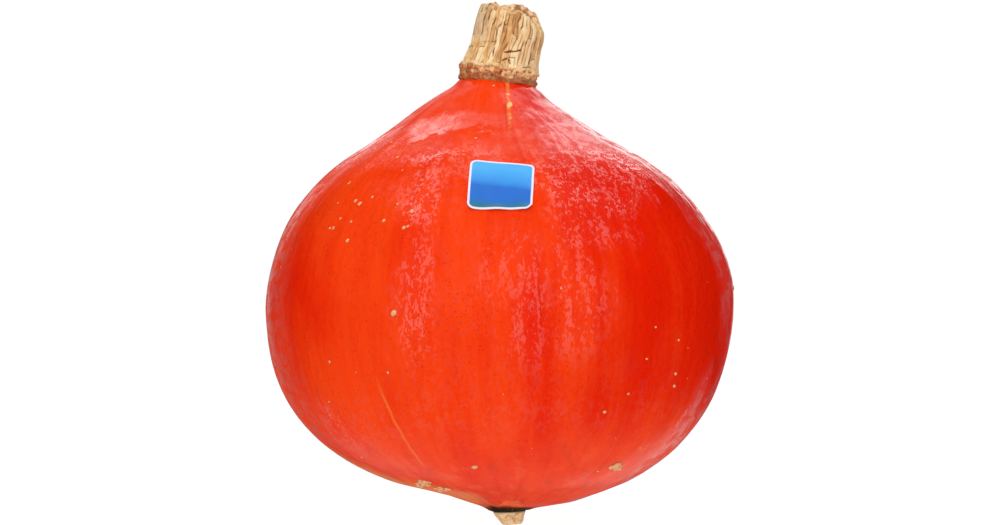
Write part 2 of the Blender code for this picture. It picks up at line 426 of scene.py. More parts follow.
def ridges_at(points, size, seed):
    """Noise from 0 to 1 with sharp valleys at 0, as between fibres."""
    return np.minimum(np.abs(noise_at(points, size, seed)) * 2.2, 1)


def round_place(angle, along=0):
    """Coordinates for noise that changes round the axis, and along it if along does."""
    return np.stack([np.cos(angle), np.sin(angle), along + 0 * angle], -1)


def round_grid(outline, segments):
    """(radius, angle, height) of each point of an outline that is turned round the axis."""
    angles = np.linspace(0, FULL_TURN, segments, endpoint=False)
    radius, angle = np.meshgrid(outline[:, 0], angles, indexing="ij")
    return radius, angle, np.repeat(outline[:, 1:2], segments, axis=1)


def closed_round_mesh(name, rows, attributes):
    """A closed mesh from rows of points round an axis. The first and the last row are each one point."""
    count, segments = rows.shape[:2]
    points = [rows[0, 0]] + [p for row in rows[1:-1] for p in row] + [rows[-1, 0]]
    last = len(points) - 1
    faces = []
    top_row = 1 + (count - 3) * segments
    for i in range(segments):
        after = (i + 1) % segments
        faces.append((0, 1 + after, 1 + i))
        faces.append((last, top_row + i, top_row + after))
        for row in range(count - 3):
            a = 1 + row * segments
            faces.append((a + i, a + after, a + segments + after, a + segments + i))
    mesh = bpy.data.meshes.new(name)
    mesh.from_pydata(points, [], faces)
    for label, values in attributes.items():
        flat = np.concatenate([values[0, :1], values[1:-1].ravel(), values[-1, :1]])
        mesh.attributes.new(label, "FLOAT", "POINT").data.foreach_set("value", flat.astype(np.float32))
    mesh.shade_smooth()
    mesh.validate()
    return mesh


def resampled(points, spacing):
    """The same line with about this spacing, as an array."""
    points = np.array(points, float)
    steps = np.linalg.norm(np.diff(points, axis=0), axis=1)
    along = np.concatenate([[0], np.cumsum(steps)])
    wanted = np.linspace(0, along[-1], max(2, round(along[-1] / spacing)))
    return np.stack([np.interp(wanted, along, points[:, 0]), np.interp(wanted, along, points[:, 1])], 1)


# ---------------------------------------------------------------- fruit

# How far each profile point pulls its curve
PULL_RIM_OUT = 31.5 * MM
PULL_BELLY_DOWN = 54.0 * MM
PULL_BELLY_UP = 11.2 * MM
PULL_NECK_IN = 29.2 * MM
PULL_NECK_OUT = 30.0 * MM
PULL_SEAT = 9.0 * MM
CURVE_POINTS = 90
SEAM_MERGE = 0.001 * MM

# Heights of the fruit's unevenness
OVAL = 0.8 * MM
THREE_SIDED = 0.6 * MM
LOW_LUMPS = 0.7 * MM
HIGH_LUMPS = 0.3 * MM
# Depths of the hollows round the neck and round the scar, with the radii where each is full, starts to
# fade and ends
NECK_HOLLOW = 1.3 * MM
NECK_HOLLOW_REACH = (16.5 * MM, 16 * MM, 27 * MM)
FOOT_HOLLOW = 0.75 * MM
FOOT_HOLLOW_REACH = (10 * MM, 28 * MM, 42 * MM)


def bezier_span(start, start_pull, end, end_pull):
    """Points of one curve in the (radius, height) plane."""
    return [
        Vector((p.x, p.y))
        for p in interpolate_bezier(start, start + start_pull, end + end_pull, end, CURVE_POINTS)
    ]


def fruit_outline(fruit):
    """(radius, height) points from the edge of the scar up to the stem's seat."""
    rim = Vector((fruit.rim_radius, fruit.rim_height))
    belly = Vector((fruit.width / 2, fruit.belly_height))
    neck = Vector((fruit.neck_radius, fruit.neck_height))
    seat = Vector((fruit.seat_radius, fruit.top))
    outwards = Vector((math.cos(fruit.rim_slope), math.sin(fruit.rim_slope)))
    up = Vector((0, 1))
    along_neck = Vector((-math.cos(fruit.neck_slope), math.sin(fruit.neck_slope)))
    lower = bezier_span(rim, PULL_RIM_OUT * outwards, belly, -PULL_BELLY_DOWN * up)
    shoulder = bezier_span(belly, PULL_BELLY_UP * up, neck, -PULL_NECK_IN * along_neck)
    top = bezier_span(neck, PULL_NECK_OUT * along_neck, seat, -PULL_SEAT * along_neck)
    return lower + shoulder[1:] + top[1:]


# Settings that the fruit's geometry tree has an input for
FRUIT_INPUTS = (
    "segments", "rings", "rim_radius", "rim_height", "neck_height", "top", "rib_count", "rib_depth",
    "shoulder_drop", "underside_drop", "underside_reach", "seat_radius", "seat_shift", "seat_tilt",
    "seat_blend", "lumps", "folds", "wrinkles", "leather",
)


def fruit_tree(kinds):
    """Turns an outline into the fruit, with its ribs, swellings, leaning ends, seat and fine relief."""
    g, given, end = geometry_graph("turned_fruit", {**kinds, "Material": "NodeSocketMaterial"})
    grid = g.add(
        "GeometryNodeMeshGrid",
        inputs={0: 1.0, 1: 1.0, 2: given["Segments"] + 1, 3: given["Rings"] + 1},
    )
    grid_uv = Value(g, grid.socket.node.outputs["UV Map"])
    mapped = g.add(
        "GeometryNodeStoreNamedAttribute",
        {"data_type": "FLOAT2", "domain": "CORNER"},
        {"Geometry": grid, "Name": "UVMap", "Value": grid_uv},
    )
    placed = g.add(
        "GeometryNodeSetPosition",
        inputs={"Geometry": mapped, "Position": shaped_skin(g, given)},
    )
    merged = g.add("GeometryNodeMergeByDistance", inputs={"Geometry": placed, "Distance": SEAM_MERGE})
    relief = g.scaled(g.add("GeometryNodeInputNormal"), skin_relief(g, given))
    detailed = g.add("GeometryNodeSetPosition", inputs={"Geometry": merged, "Offset": relief})
    finish(g, detailed, given, end)
    return g


def shaped_skin(g, given):
    """Where each point of the unit grid lies on the fruit: X is the angle, and Y the way up the outline."""
    grid_x, grid_y, _ = g.split(g.add("GeometryNodeInputPosition"))
    angle = (grid_x + 0.5) * FULL_TURN
    outline = g.add("GeometryNodeMeshToCurve", inputs={"Mesh": given["Geometry"]})
    sample = g.add(
        "GeometryNodeSampleCurve",
        {"mode": "FACTOR", "use_all_curves": True},
        {"Curves": outline, "Factor": grid_y + 0.5},
        output=1,
    )
    radius, _, height = g.split(sample)
    run, _, climb = g.split(Value(g, sample.socket.node.outputs["Tangent"]))
    cosine, sine = g.maths("COSINE", angle), g.maths("SINE", angle)
    off_rim = height > given["Rim Height"] + 0.01 * MM

    rise = height / given["Top"]
    belly_share = g.maths("MAXIMUM", g.maths("SINE", rise * math.pi), 0) ** 0.7
    drift = 0.3 + 0.5 * g.maths("SINE", angle * 3)
    ribs = given["Rib Depth"] * g.maths("COSINE", angle * given["Rib Count"] + drift)
    oval = OVAL * (g.maths("COSINE", angle * 2) - 1)
    three_sided = THREE_SIDED * g.maths("COSINE", angle * 3 + 1.9)
    low_lumps = LOW_LUMPS * g.maths("COSINE", angle * 3 - 1.45)
    low_lumps = low_lumps * g.maths("SINE", rise * (2.2 * math.pi) + 1.0)
    high_lumps = HIGH_LUMPS * g.maths("SINE", angle * 7 + 2.1)
    high_lumps = high_lumps * g.maths("SINE", rise * (4.4 * math.pi) + 0.4)
    swelling = belly_share * (ribs + oval + three_sided + low_lumps + high_lumps) * off_rim

    shoulder = g.smooth(height, 0.5 * given["Top"], 0.7 * given["Top"])
    underside = g.maths("MINIMUM", (radius - given["Rim Radius"]) / given["Underside Reach"], 1)
    underside = underside * (1 - g.smooth(height, 10 * MM, 60 * MM))
    lean = given["Shoulder Drop"] * shoulder + given["Underside Drop"] * underside
    outward = radius + swelling * climb
    upright = g.join(outward * cosine, outward * sine, height - swelling * run - cosine * lean * off_rim)

    tilt_cosine, tilt_sine = g.maths("COSINE", given["Seat Tilt"]), g.maths("SINE", given["Seat Tilt"])
    below_seat = height - given["Top"]
    seated = g.join(
        given["Seat Shift"] + tilt_cosine * radius * cosine + tilt_sine * below_seat,
        radius * sine,
        given["Top"] - tilt_sine * radius * cosine + tilt_cosine * below_seat,
    )
    share = 1 - g.smooth(radius, 1.1 * given["Seat Radius"], given["Seat Blend"])
    leaning = g.mix_vector(share * (height > given["Neck Height"]), upright, seated)
    neck_hollow = g.band(radius, given["Seat Radius"], *NECK_HOLLOW_REACH) * g.smooth(cosine, -0.35, -0.95)
    towards_x = g.smooth(cosine, 0.1, 0.7) * g.smooth(radius, 38 * MM, 32 * MM)
    foot_hollow = g.band(radius, given["Rim Radius"], *FOOT_HOLLOW_REACH) * (1 - 0.45 * towards_x)
    hollow = NECK_HOLLOW * neck_hollow * shoulder + FOOT_HOLLOW * foot_hollow * (1 - shoulder)
    inwards = g.join(-climb * cosine, -climb * sine, run)
    return g.vector("ADD", leaning, g.scaled(inwards, hollow))


class SkinPlace:
    """Where a point of the skin lies, and which way it lies from the axis."""

    def __init__(self, g, vector):
        self.graph = g
        self.vector = vector
        self.x, self.y, self.z = g.split(vector)
        self.across = g.maths("MAXIMUM", g.hypotenuse(self.x, self.y), 1 * MM)
        self.towards_x, self.towards_y = self.x / self.across, self.y / self.across

    def stretched(self, share):
        """Coordinates that draw a pattern out upwards if share is below 1, and flatten it if above."""
        return self.graph.join(self.x, self.y, self.z * share)

    def round_axis(self, count, along):
        """Coordinates for streaks: a larger count makes them narrower round the axis."""
        return self.graph.join(self.towards_x * count, self.towards_y * count, along)

    def on_front(self):
        return self.y < 0


def skin_relief(g, given):
    """Height of the fine relief: wide lumps, upright folds and wrinkles, and a leathery grain."""
    at = SkinPlace(g, g.add("GeometryNodeInputPosition"))
    away_from_ends = g.smooth(at.across, 9 * MM, 26 * MM)
    lumps = g.noise(at.vector, size=24 * MM, detail=1.0)
    folds = g.noise(at.round_axis(7, at.z / (38 * MM)), detail=1.0, distortion=0.3)
    wrinkles = g.noise(at.round_axis(11, at.z / (10 * MM)), detail=1.0, distortion=1.0)
    ripples = g.noise(at.stretched(1.4), size=5.0 * MM, detail=1.5, distortion=0.8)
    grain = g.noise(at.stretched(0.6), size=3.0 * MM, detail=1.0)
    shoulder = g.smooth(at.z, 88 * MM, 118 * MM)
    shoulder = shoulder * g.smooth(at.towards_x + 0.25 * at.towards_y, -0.1, 0.45)
    neck = g.smooth(at.z, 114 * MM, 124 * MM)
    on_neck = (2 + 5.5 * shoulder) * neck * (1 - 0.7 * g.smooth(at.towards_x, 0.7, 0.92))
    return (
        given["Lumps"] * (lumps - 0.5) * 2
        + given["Folds"] * (folds - 0.5) * 2
        + given["Wrinkles"] * (wrinkles - 0.5) * (2 + 6 * shoulder * (1 - neck))
        + given["Wrinkles"] * (ripples - 0.5) * on_neck
        + given["Leather"] * (grain - 0.5) * 2
    ) * away_from_ends


# Marks on the front: a crease with painted shade in it, the low end of a scratch, and what lies in a line
# below the stem
CREASE_X = 12.7 * MM
CREASE_Z = 77 * MM
CREASE_HALF_HEIGHT = 16 * MM
SCRATCH_X = -27.7 * MM
SCRATCH_Z = 25.3 * MM
STEM_STREAK_X = 5.8 * MM
DROPS_X = 6.1 * MM
LINE_BESIDE_DROPS_X = 4.7 * MM
# (height, half height, strength) of each drop
DROPS = [(142.2 * MM, 1.6 * MM, 1.0), (146.0 * MM, 0.9 * MM, 0.4), (137.4 * MM, 1.0 * MM, 0.4)]
# The shiny strip on the neck: where it is highest, and how much it falls for each metre away from there
STRIP_X = -9 * MM
STRIP_Z = 138.4 * MM
STRIP_FALL = 0.24
# The ring of painted shade in the crease round the scar
RING_CENTRE_X = 0.5 * MM
RING_CENTRE_Y = -2.5 * MM
RING_HALF_WIDTH = 7.6 * MM
RING_HALF_DEPTH = 7.2 * MM
# Colours of these marks, of the pits and dots, and of the streaks that run away from the scar
PIT_SHADE_RED = (0.30, 0.004, 0.001)
CREASE_SHADE_RED = (0.42, 0.006, 0.001)
LINE_RED = (0.40, 0.020, 0.005)
DROP_CREAM = (0.98, 0.50, 0.18)
DOT_RED = (0.30, 0.012, 0.004)
SPOKE_RED = (0.40, 0.010, 0.002)
RAY_BROWN = (0.42, 0.040, 0.010)
RAY_ORANGE = (0.95, 0.13, 0.035)
SHADE_RING_BLACK = (0.022, 0.014, 0.008)
SHADE_RING_BROWN = (0.085, 0.060, 0.030)
SHADE_RING_EDGE_RED = (0.30, 0.050, 0.010)
SHADE_RING_EDGE_TAN = (0.26, 0.13, 0.030)


def skin_material(fruit):
    """Waxy red-orange skin with streaks, pores, a scratch and pale patches, and painted light and shade: in
    a crease, in the pits, on the +X side, on a rib and in a ring round the scar.
    """
    material, g, shader = shader_graph(
        "kuri_skin", {"Specular IOR Level": 0.0, "Coat Roughness": 0.10}
    )
    at = SkinPlace(g, g.object_place())
    patches = g.noise(at.vector, size=30 * MM, detail=2.0)
    streaks = g.noise(at.round_axis(9, at.z / (60 * MM)), detail=3.0, distortion=0.4)
    mottle = g.noise(at.vector, size=2.2 * MM, detail=2.0, roughness=0.6)
    ragged = (g.noise(at.vector, size=5 * MM, detail=3.0) - 0.5) * 2

    skin = ripe_colour(g, at, fruit, patches, streaks, mottle)
    wax = waxy_flecks(g, at, patches, streaks)
    # Painted shade of the fine relief: the pits are darker red, partly as pores
    pits = skin_pits(g, at) * g.smooth(at.z, 30 * MM, 60 * MM)
    skin = g.mix_colour(pits * 0.40, skin, PIT_SHADE_RED)
    wax = wax * (1 - 0.8 * pits)

    # Painted shade: a thin dark line down a crease, with more wax just to its left
    crease_x = at.x - CREASE_X + ragged * 0.5 * MM
    crease_reach = g.bump_at(at.z, CREASE_Z, CREASE_HALF_HEIGHT) * at.on_front()
    skin = g.mix_colour(g.bump_at(crease_x, 0, 0.45 * MM) * crease_reach * 0.5, skin, CREASE_SHADE_RED)
    wax = g.maths("MAXIMUM", wax, 0.9 * g.bump_at(crease_x, -0.8 * MM, 0.5 * MM) * crease_reach)
    skin = g.mix_colour(unripe_marks(g, at, ragged, streaks), skin, tuple(fruit.unripe_gold))
    skin = with_drops(g, at, skin, ragged, mottle)

    pores = g.cells(at.vector, 2.3 * MM)
    dots = g.smooth(pores, 0.13, 0.06) * (g.pick_of(pores, 0) > 0.62)
    skin = g.mix_colour(dots * 0.55, skin, DOT_RED)
    # Painted shade: an almost black ring in the crease round the scar
    ring = shade_ring_round_scar(g, at, ragged)
    skin = with_shade_ring(g, at, skin, ring, mottle)

    g.feed(shader.inputs["Base Color"], skin)
    g.feed(shader.inputs["Roughness"], 0.24 + 0.14 * patches + 0.35 * ring + 0.06 * mottle)
    g.feed(shader.inputs["Coat Weight"], wax * (1 - ring))
    g.feed(shader.inputs["Normal"], skin_bump(g, at, dots))
    return material


def ripe_colour(g, at, fruit, patches, streaks, mottle):
    """Red and orange patches and upright streaks, with two redder bands, painted shade on the +X side, and
    painted light on a rib with painted shade in the crease beside it.
    """
    fine_streaks = g.noise(at.round_axis(40, at.z / (18 * MM)), detail=2.0)
    # Painted shade on the +X side, which the lights reach less: the skin is deeper red there
    shade_on_x_side = g.smooth(at.towards_x - 0.35 * at.towards_y, 0.45, 1.05) * g.smooth(at.z, 20 * MM, 55 * MM)
    front_band = g.bump_at(at.x, 11 * MM, 11 * MM) * g.band(at.z, 18 * MM, 45 * MM, 78 * MM, 104 * MM)
    left_band = g.bump_at(at.towards_x, -0.84, 0.2) * g.bump_at(at.z, 84 * MM, 30 * MM)
    ripe_band = front_band * at.on_front() + 0.8 * left_band
    # Painted light on a soft rib, and painted shade in the crease beside it
    rib_light_and_crease_shade = g.bump_at(at.towards_x, 0.73, 0.05) - 0.9 * g.bump_at(at.towards_x, 0.63, 0.05)
    rib_light_and_crease_shade = rib_light_and_crease_shade * at.on_front() * g.bump_at(at.z, 80 * MM, 42 * MM)
    brightness = patches * 0.8 + streaks * 0.9 + fine_streaks * 0.35 + mottle * 0.3
    brightness = brightness - 0.75 * shade_on_x_side - 0.5 * ripe_band + 0.35 * rib_light_and_crease_shade
    return g.mix_colour(g.smooth(brightness, 0.45, 1.5), tuple(fruit.deep_red), tuple(fruit.bright_orange))


def with_drops(g, at, skin, ragged, mottle):
    """The skin with pale drops in a line below the stem, and a thin dark line beside them."""
    beside = g.bump_at(at.x + ragged * 0.5 * MM, LINE_BESIDE_DROPS_X, 0.4 * MM)
    beside = beside * at.on_front() * g.smooth(at.z, 130 * MM, 136 * MM)
    skin = g.mix_colour(beside * 0.45, skin, LINE_RED)
    drops = sum(strength * g.bump_at(at.z, height, half) for height, half, strength in DROPS)
    drops = drops * g.bump_at(at.x + ragged * 0.9 * MM, DROPS_X, 1.2 * MM) * at.on_front()
    return g.mix_colour(g.smooth(drops + 0.5 * (mottle - 0.5), 0.15, 0.55), skin, DROP_CREAM)


def shade_ring_round_scar(g, at, ragged):
    """1 in the ring of painted shade round the scar, and a ragged fall to 0 outside it."""
    ring_x = (at.x - RING_CENTRE_X) / RING_HALF_WIDTH
    ring_y = (at.y - RING_CENTRE_Y) / RING_HALF_DEPTH
    reach = g.hypotenuse(ring_x * ring_x, ring_y * ring_y)
    return g.smooth(reach + ragged * 0.30, 2.60, 0.42) * g.smooth(at.z, 22 * MM, 14 * MM)


def with_shade_ring(g, at, skin, ring, mottle):
    """The skin with streaks that run away from the scar, and the almost black ring of painted shade round
    it.
    """
    radial = g.noise(at.round_axis(8, at.across / (9 * MM)), detail=3.0, roughness=0.6)
    low = g.smooth(at.z, 38 * MM, 20 * MM)
    spokes = g.noise(at.round_axis(17, at.across / (16 * MM)), detail=1.0)
    spokes = g.smooth(spokes, 0.50, 0.64) * g.smooth(at.across, 34 * MM, 14 * MM)
    skin = g.mix_colour(spokes * 0.45 * low, skin, SPOKE_RED)
    skin = g.mix_colour(g.smooth(radial, 0.52, 0.70) * low * 0.40, skin, RAY_BROWN)
    skin = g.mix_colour(g.smooth(radial, 0.46, 0.32) * low * 0.28, skin, RAY_ORANGE)
    blotches = g.smooth(radial + 0.4 * (mottle - 0.5), 0.48, 0.70)
    middle = g.mix_colour(blotches, SHADE_RING_BLACK, SHADE_RING_BROWN)
    edge = g.mix_colour(g.smooth(at.x, -2 * MM, -8 * MM), SHADE_RING_EDGE_RED, SHADE_RING_EDGE_TAN)
    return g.mix_colour(ring, skin, g.mix_colour(g.smooth(ring, 0.95, 0.55), middle, edge))


def waxy_flecks(g, at, patches, streaks):
    """How much wax lies on the skin: flecks on the front, dashes on the sides and ripples on the neck."""
    columns = g.noise(at.stretched(0.28), size=3.6 * MM, detail=2.0, distortion=0.5)
    squiggles = g.noise(at.stretched(0.55), size=1.05 * MM, detail=1.5, distortion=0.8)
    pattern = 0.85 * (columns - 0.5) + 1.3 * (squiggles - 0.5)
    pattern = pattern + 0.12 * (patches - 0.5) + 0.15 * (streaks - 0.5)
    flecks = g.smooth(pattern - 0.04 * g.smooth(at.x, 0, 15 * MM), 0.025, 0.075)
    neck = g.smooth(at.z - 5 * MM * g.smooth(at.x, 0, -10 * MM), 118 * MM, 130 * MM)
    wavy = g.noise(at.stretched(1.4), size=5.0 * MM, detail=3.0, distortion=0.6)
    ripples = g.smooth(wavy + 0.25 * (squiggles - 0.5), 0.40, 0.62)
    even = g.maths("MAXIMUM", 0.85 * g.smooth(at.z, 46 * MM, 24 * MM), 0.90 * neck)
    on_side = g.smooth(g.maths("ABSOLUTE", at.towards_x), 0.78, 0.94)
    dashes = g.smooth(g.noise(at.stretched(1.5), size=6.0 * MM, detail=2.0, distortion=0.7), 0.44, 0.58)
    level = 0.42 * (1 - on_side) + (0.12 + 0.62 * dashes) * on_side
    level = level + (0.22 + 0.42 * ripples - level) * neck * (1 - on_side)
    wax = flecks + (level - flecks) * g.maths("MAXIMUM", even, 0.9 * on_side)
    uneven = (wavy - 0.5) * 9 * MM + (squiggles - 0.5) * 3 * MM
    return with_shiny_strip(g, at, wax, uneven, ripples)


def with_shiny_strip(g, at, wax, uneven, ripples):
    """The wax with a shiny strip that runs round the left of the neck, and dull skin above and below it."""
    crest = STRIP_Z - STRIP_FALL * g.maths("ABSOLUTE", at.x - STRIP_X)
    past_crest = at.z - crest + uneven
    left = g.smooth(at.x, 6 * MM, -2 * MM)
    under = g.smooth(past_crest, -2.4 * MM, -3.4 * MM)
    near_crest = g.smooth(past_crest, -9.5 * MM, -6.5 * MM)
    plain = g.maths("MAXIMUM", near_crest, g.smooth(at.x, -24 * MM, -29 * MM))
    below = under * plain * g.smooth(at.z, 113 * MM, 120 * MM)
    above = g.smooth(past_crest, 1.4 * MM, 4.0 * MM)
    shiny = (1 - under) * (1 - above) * g.smooth(at.z, 124 * MM, 129 * MM)
    far_left = g.smooth(at.x, -24 * MM, -30 * MM) * g.smooth(at.z, 106 * MM, 117 * MM)
    far_left = far_left * g.smooth(at.y, -4 * MM, -14 * MM)
    dull = g.maths("MAXIMUM", 0.70 * far_left, 0.9 * left * g.maths("MAXIMUM", below, above))
    wax = wax * (1 - 0.92 * dull) + (0.30 + 0.25 * ripples) * shiny * left * (1 - far_left)
    return g.maths("MINIMUM", 0.10 - 0.03 * dull + 0.90 * wax, 1)


def skin_pits(g, at):
    """Where the tiny pits lie, which are darker red partly as pores and partly as painted shade of the fine
    relief; close together in some places and rare in others.
    """
    cells = g.cells(at.stretched(0.8), 1.15 * MM)
    crowded = g.noise(at.stretched(0.35), size=9 * MM, detail=1.0)
    return g.smooth(cells, 0.26, 0.15) * (g.pick_of(cells, 1) > 0.95 - 1.1 * g.smooth(crowded, 0.46, 0.66))


def unripe_marks(g, at, ragged, streaks):
    """Where the skin is pale gold: its low left edge, a streak below the stem, a scratch and the back."""
    low_left = (
        g.smooth(at.across - (24 * MM - 0.6 * at.x) + ragged * 1.5 * MM, 3 * MM, -5 * MM)
        * g.smooth(at.x, -5 * MM, -14 * MM)
        * g.smooth(at.y, 25 * MM, -5 * MM)
        * g.smooth(at.across, 8 * MM, 15 * MM)
        * (at.z < 60 * MM)
    )
    spotty = g.smooth(g.noise(at.vector, size=1.9 * MM, detail=1.0), 0.40, 0.60)
    stem_streak = (
        (0.25 + 0.55 * spotty)
        * g.bump_at(at.x + ragged * 0.5 * MM, STEM_STREAK_X, 1.1 * MM)
        * g.smooth(at.z + ragged * 4 * MM, 128 * MM, 141 * MM)
        * at.on_front()
    )
    from_low_end = at.z - SCRATCH_Z
    scratch_x = SCRATCH_X - 0.62 * from_low_end + 6.3 * from_low_end * from_low_end
    scratch = (
        g.bump_at(at.x + ragged * 0.5 * MM, scratch_x, 0.75 * MM)
        * g.band(at.z, 23 * MM, 27 * MM, 47 * MM, 57 * MM)
        * at.on_front()
    )
    ground = (
        g.smooth(at.z + ragged * 5 * MM, 68 * MM, 30 * MM)
        * g.smooth(at.towards_x * 0.45 + at.towards_y * 0.9, 0.80, 1.0)
        * g.smooth(at.z, 8 * MM, 24 * MM)
    )
    marks = low_left * (0.25 + 0.6 * streaks) + stem_streak + scratch * 0.32 + ground * 0.45
    return g.maths("MINIMUM", marks, 1)


def skin_bump(g, at, dots):
    """Fine leathery pebbles with pores between them, smoother on the underside and on the shoulders."""
    pebbles = g.cells(at.stretched(0.6), 1.9 * MM, "SMOOTH_F1", Smoothness=0.4)
    grain = g.noise(at.stretched(0.6), size=1.5 * MM, detail=2.0, roughness=0.45)
    creases = g.noise(at.stretched(0.35), size=3.2 * MM, detail=1.0, distortion=0.8)
    rough = g.band(at.z, 28 * MM, 62 * MM, 108 * MM, 134 * MM) * g.smooth(at.towards_x, -1.0, -0.3)
    rough = rough * (1 - 0.6 * g.smooth(at.towards_x, 0.8, 0.97))
    relief = (1 - pebbles) * 0.16 + grain * 0.20 + creases * 0.36
    return g.bump(relief * (0.25 + 0.75 * rough) - dots * 0.06, 1.0, 1 * MM)


class KURI_OT_skin(bpy.types.Operator):
    """Grow the fruit with its skin"""

    bl_idname = "kuri.skin"
    bl_label = "Skin"

    def execute(self, context):
        fruit = context.scene.kuri_fruit
        outline = fruit_outline(fruit)
        points = [Vector((0, fruit.rim_height)), *outline, Vector((0, fruit.top))]
        line = bpy.data.meshes.new("outline")
        line.from_pydata([(p.x, 0, p.y) for p in points], [(i, i + 1) for i in range(len(points) - 1)], [])
        host = helper_object("outline", line)
        kinds, values = inputs_from(fruit, FRUIT_INPUTS)
        values["Material"] = skin_material(fruit)
        mesh = grown_mesh("squash_skin", host, fruit_tree(kinds), values)
        remove_helper(host)
        add_piece("squash_skin", mesh, "fruit")
        return {"FINISHED"}


# ---------------------------------------------------------------- corky specks

# Specks that catch the eye, placed on the skin from the front: (x, height, radius), in millimetres
FRONT_SPECKS = [
    (-47.7, 117.9, 0.50), (-45.5, 111.7, 0.58), (-44.0, 110.7, 0.67), (-39.8, 112.7, 0.43),
    (-26.9, 107.3, 0.72), (-31.5, 109.9, 0.36), (-53.0, 103.2, 0.53), (-54.2, 103.2, 0.36),
    (-51.5, 111.4, 0.29), (-50.6, 106.2, 0.38), (-47.0, 104.9, 0.43), (-36.1, 104.7, 0.53),
    (-29.6, 102.1, 0.60), (-28.3, 102.5, 0.43), (-48.3, 98.8, 0.60), (-31.5, 125.7, 0.48),
    (-33.8, 131.3, 0.36), (-30.6, 136.0, 0.36), (-29.8, 121.1, 0.29),
    (-33.8, 75.0, 0.96), (-55.8, 59.9, 0.43), (-10.5, 23.8, 0.96), (32.1, 40.2, 0.53),
    (40.1, 45.6, 0.43), (56.0, 51.0, 0.53), (55.5, 47.0, 0.53), (57.3, 62.0, 0.38),
    (46.4, 56.6, 0.36), (49.7, 66.7, 0.36), (1.1, 149.2, 0.43), (-5.6, 130.8, 0.38),
]
# Corky scabs, each a clump of specks: (x, height, reach, specks)
FRONT_SCABS = [(-28.2, 17.6, 2.1, 9), (-21.8, 15.0, 1.9, 7), (36.0, 20.6, 1.7, 6)]
# Warts on the skin's outline: (degrees round the axis, height, radius), in millimetres
SILHOUETTE_WARTS = [(194.5, 128.0, 0.7), (188.0, 101.0, 0.7), (-4.0, 77.5, 0.7), (100, 96.0, 0.9)]
SPECK_CRUST = (0.42, 0.16, 0.055)
# Darker red round each speck, partly painted shade at its foot
SPECK_EDGE_SHADE = (0.36, 0.040, 0.010)
SPECK_SEGMENTS = 10
# Rings of a speck of radius 1, from its skirt inwards: (radius, height, share of cork)
SPECK_RINGS = [(1.35, -0.10, 0.0), (1.0, 0.05, 0.25), (0.80, 0.30, 1.0), (0.40, 0.40, 1.0)]
# Settings that the specks' geometry tree has an input for
SPECK_INPUTS = ("per_area", "smallest", "largest", "seed")


def speck_mesh():
    """One low lump of cork of radius 1, with a skirt that runs down into the skin."""
    points, cork, faces = [], [], []
    for radius, height, corkiness in SPECK_RINGS:
        for i in range(SPECK_SEGMENTS):
            angle = FULL_TURN * i / SPECK_SEGMENTS
            uneven = 1 + 0.14 * math.sin(2 * angle + 0.7) + 0.09 * math.sin(5 * angle)
            points.append((radius * uneven * math.cos(angle), radius * math.sin(angle), height))
            cork.append(corkiness)
    for ring in range(len(SPECK_RINGS) - 1):
        for i in range(SPECK_SEGMENTS):
            after = (i + 1) % SPECK_SEGMENTS
            a, b = ring * SPECK_SEGMENTS, (ring + 1) * SPECK_SEGMENTS
            faces.append((a + i, a + after, b + after, b + i))
    last = (len(SPECK_RINGS) - 1) * SPECK_SEGMENTS
    points += [(0, 0, 0.42), (0, 0, -0.25)]
    cork += [1.0, 0.0]
    for i in range(SPECK_SEGMENTS):
        after = (i + 1) % SPECK_SEGMENTS
        faces.append((last + i, last + after, len(points) - 2))
        faces.append((after, i, len(points) - 1))
    mesh = bpy.data.meshes.new("speck")
    mesh.from_pydata(points, [], faces)
    mesh.attributes.new("cork", "FLOAT", "POINT").data.foreach_set("value", cork)
    return mesh


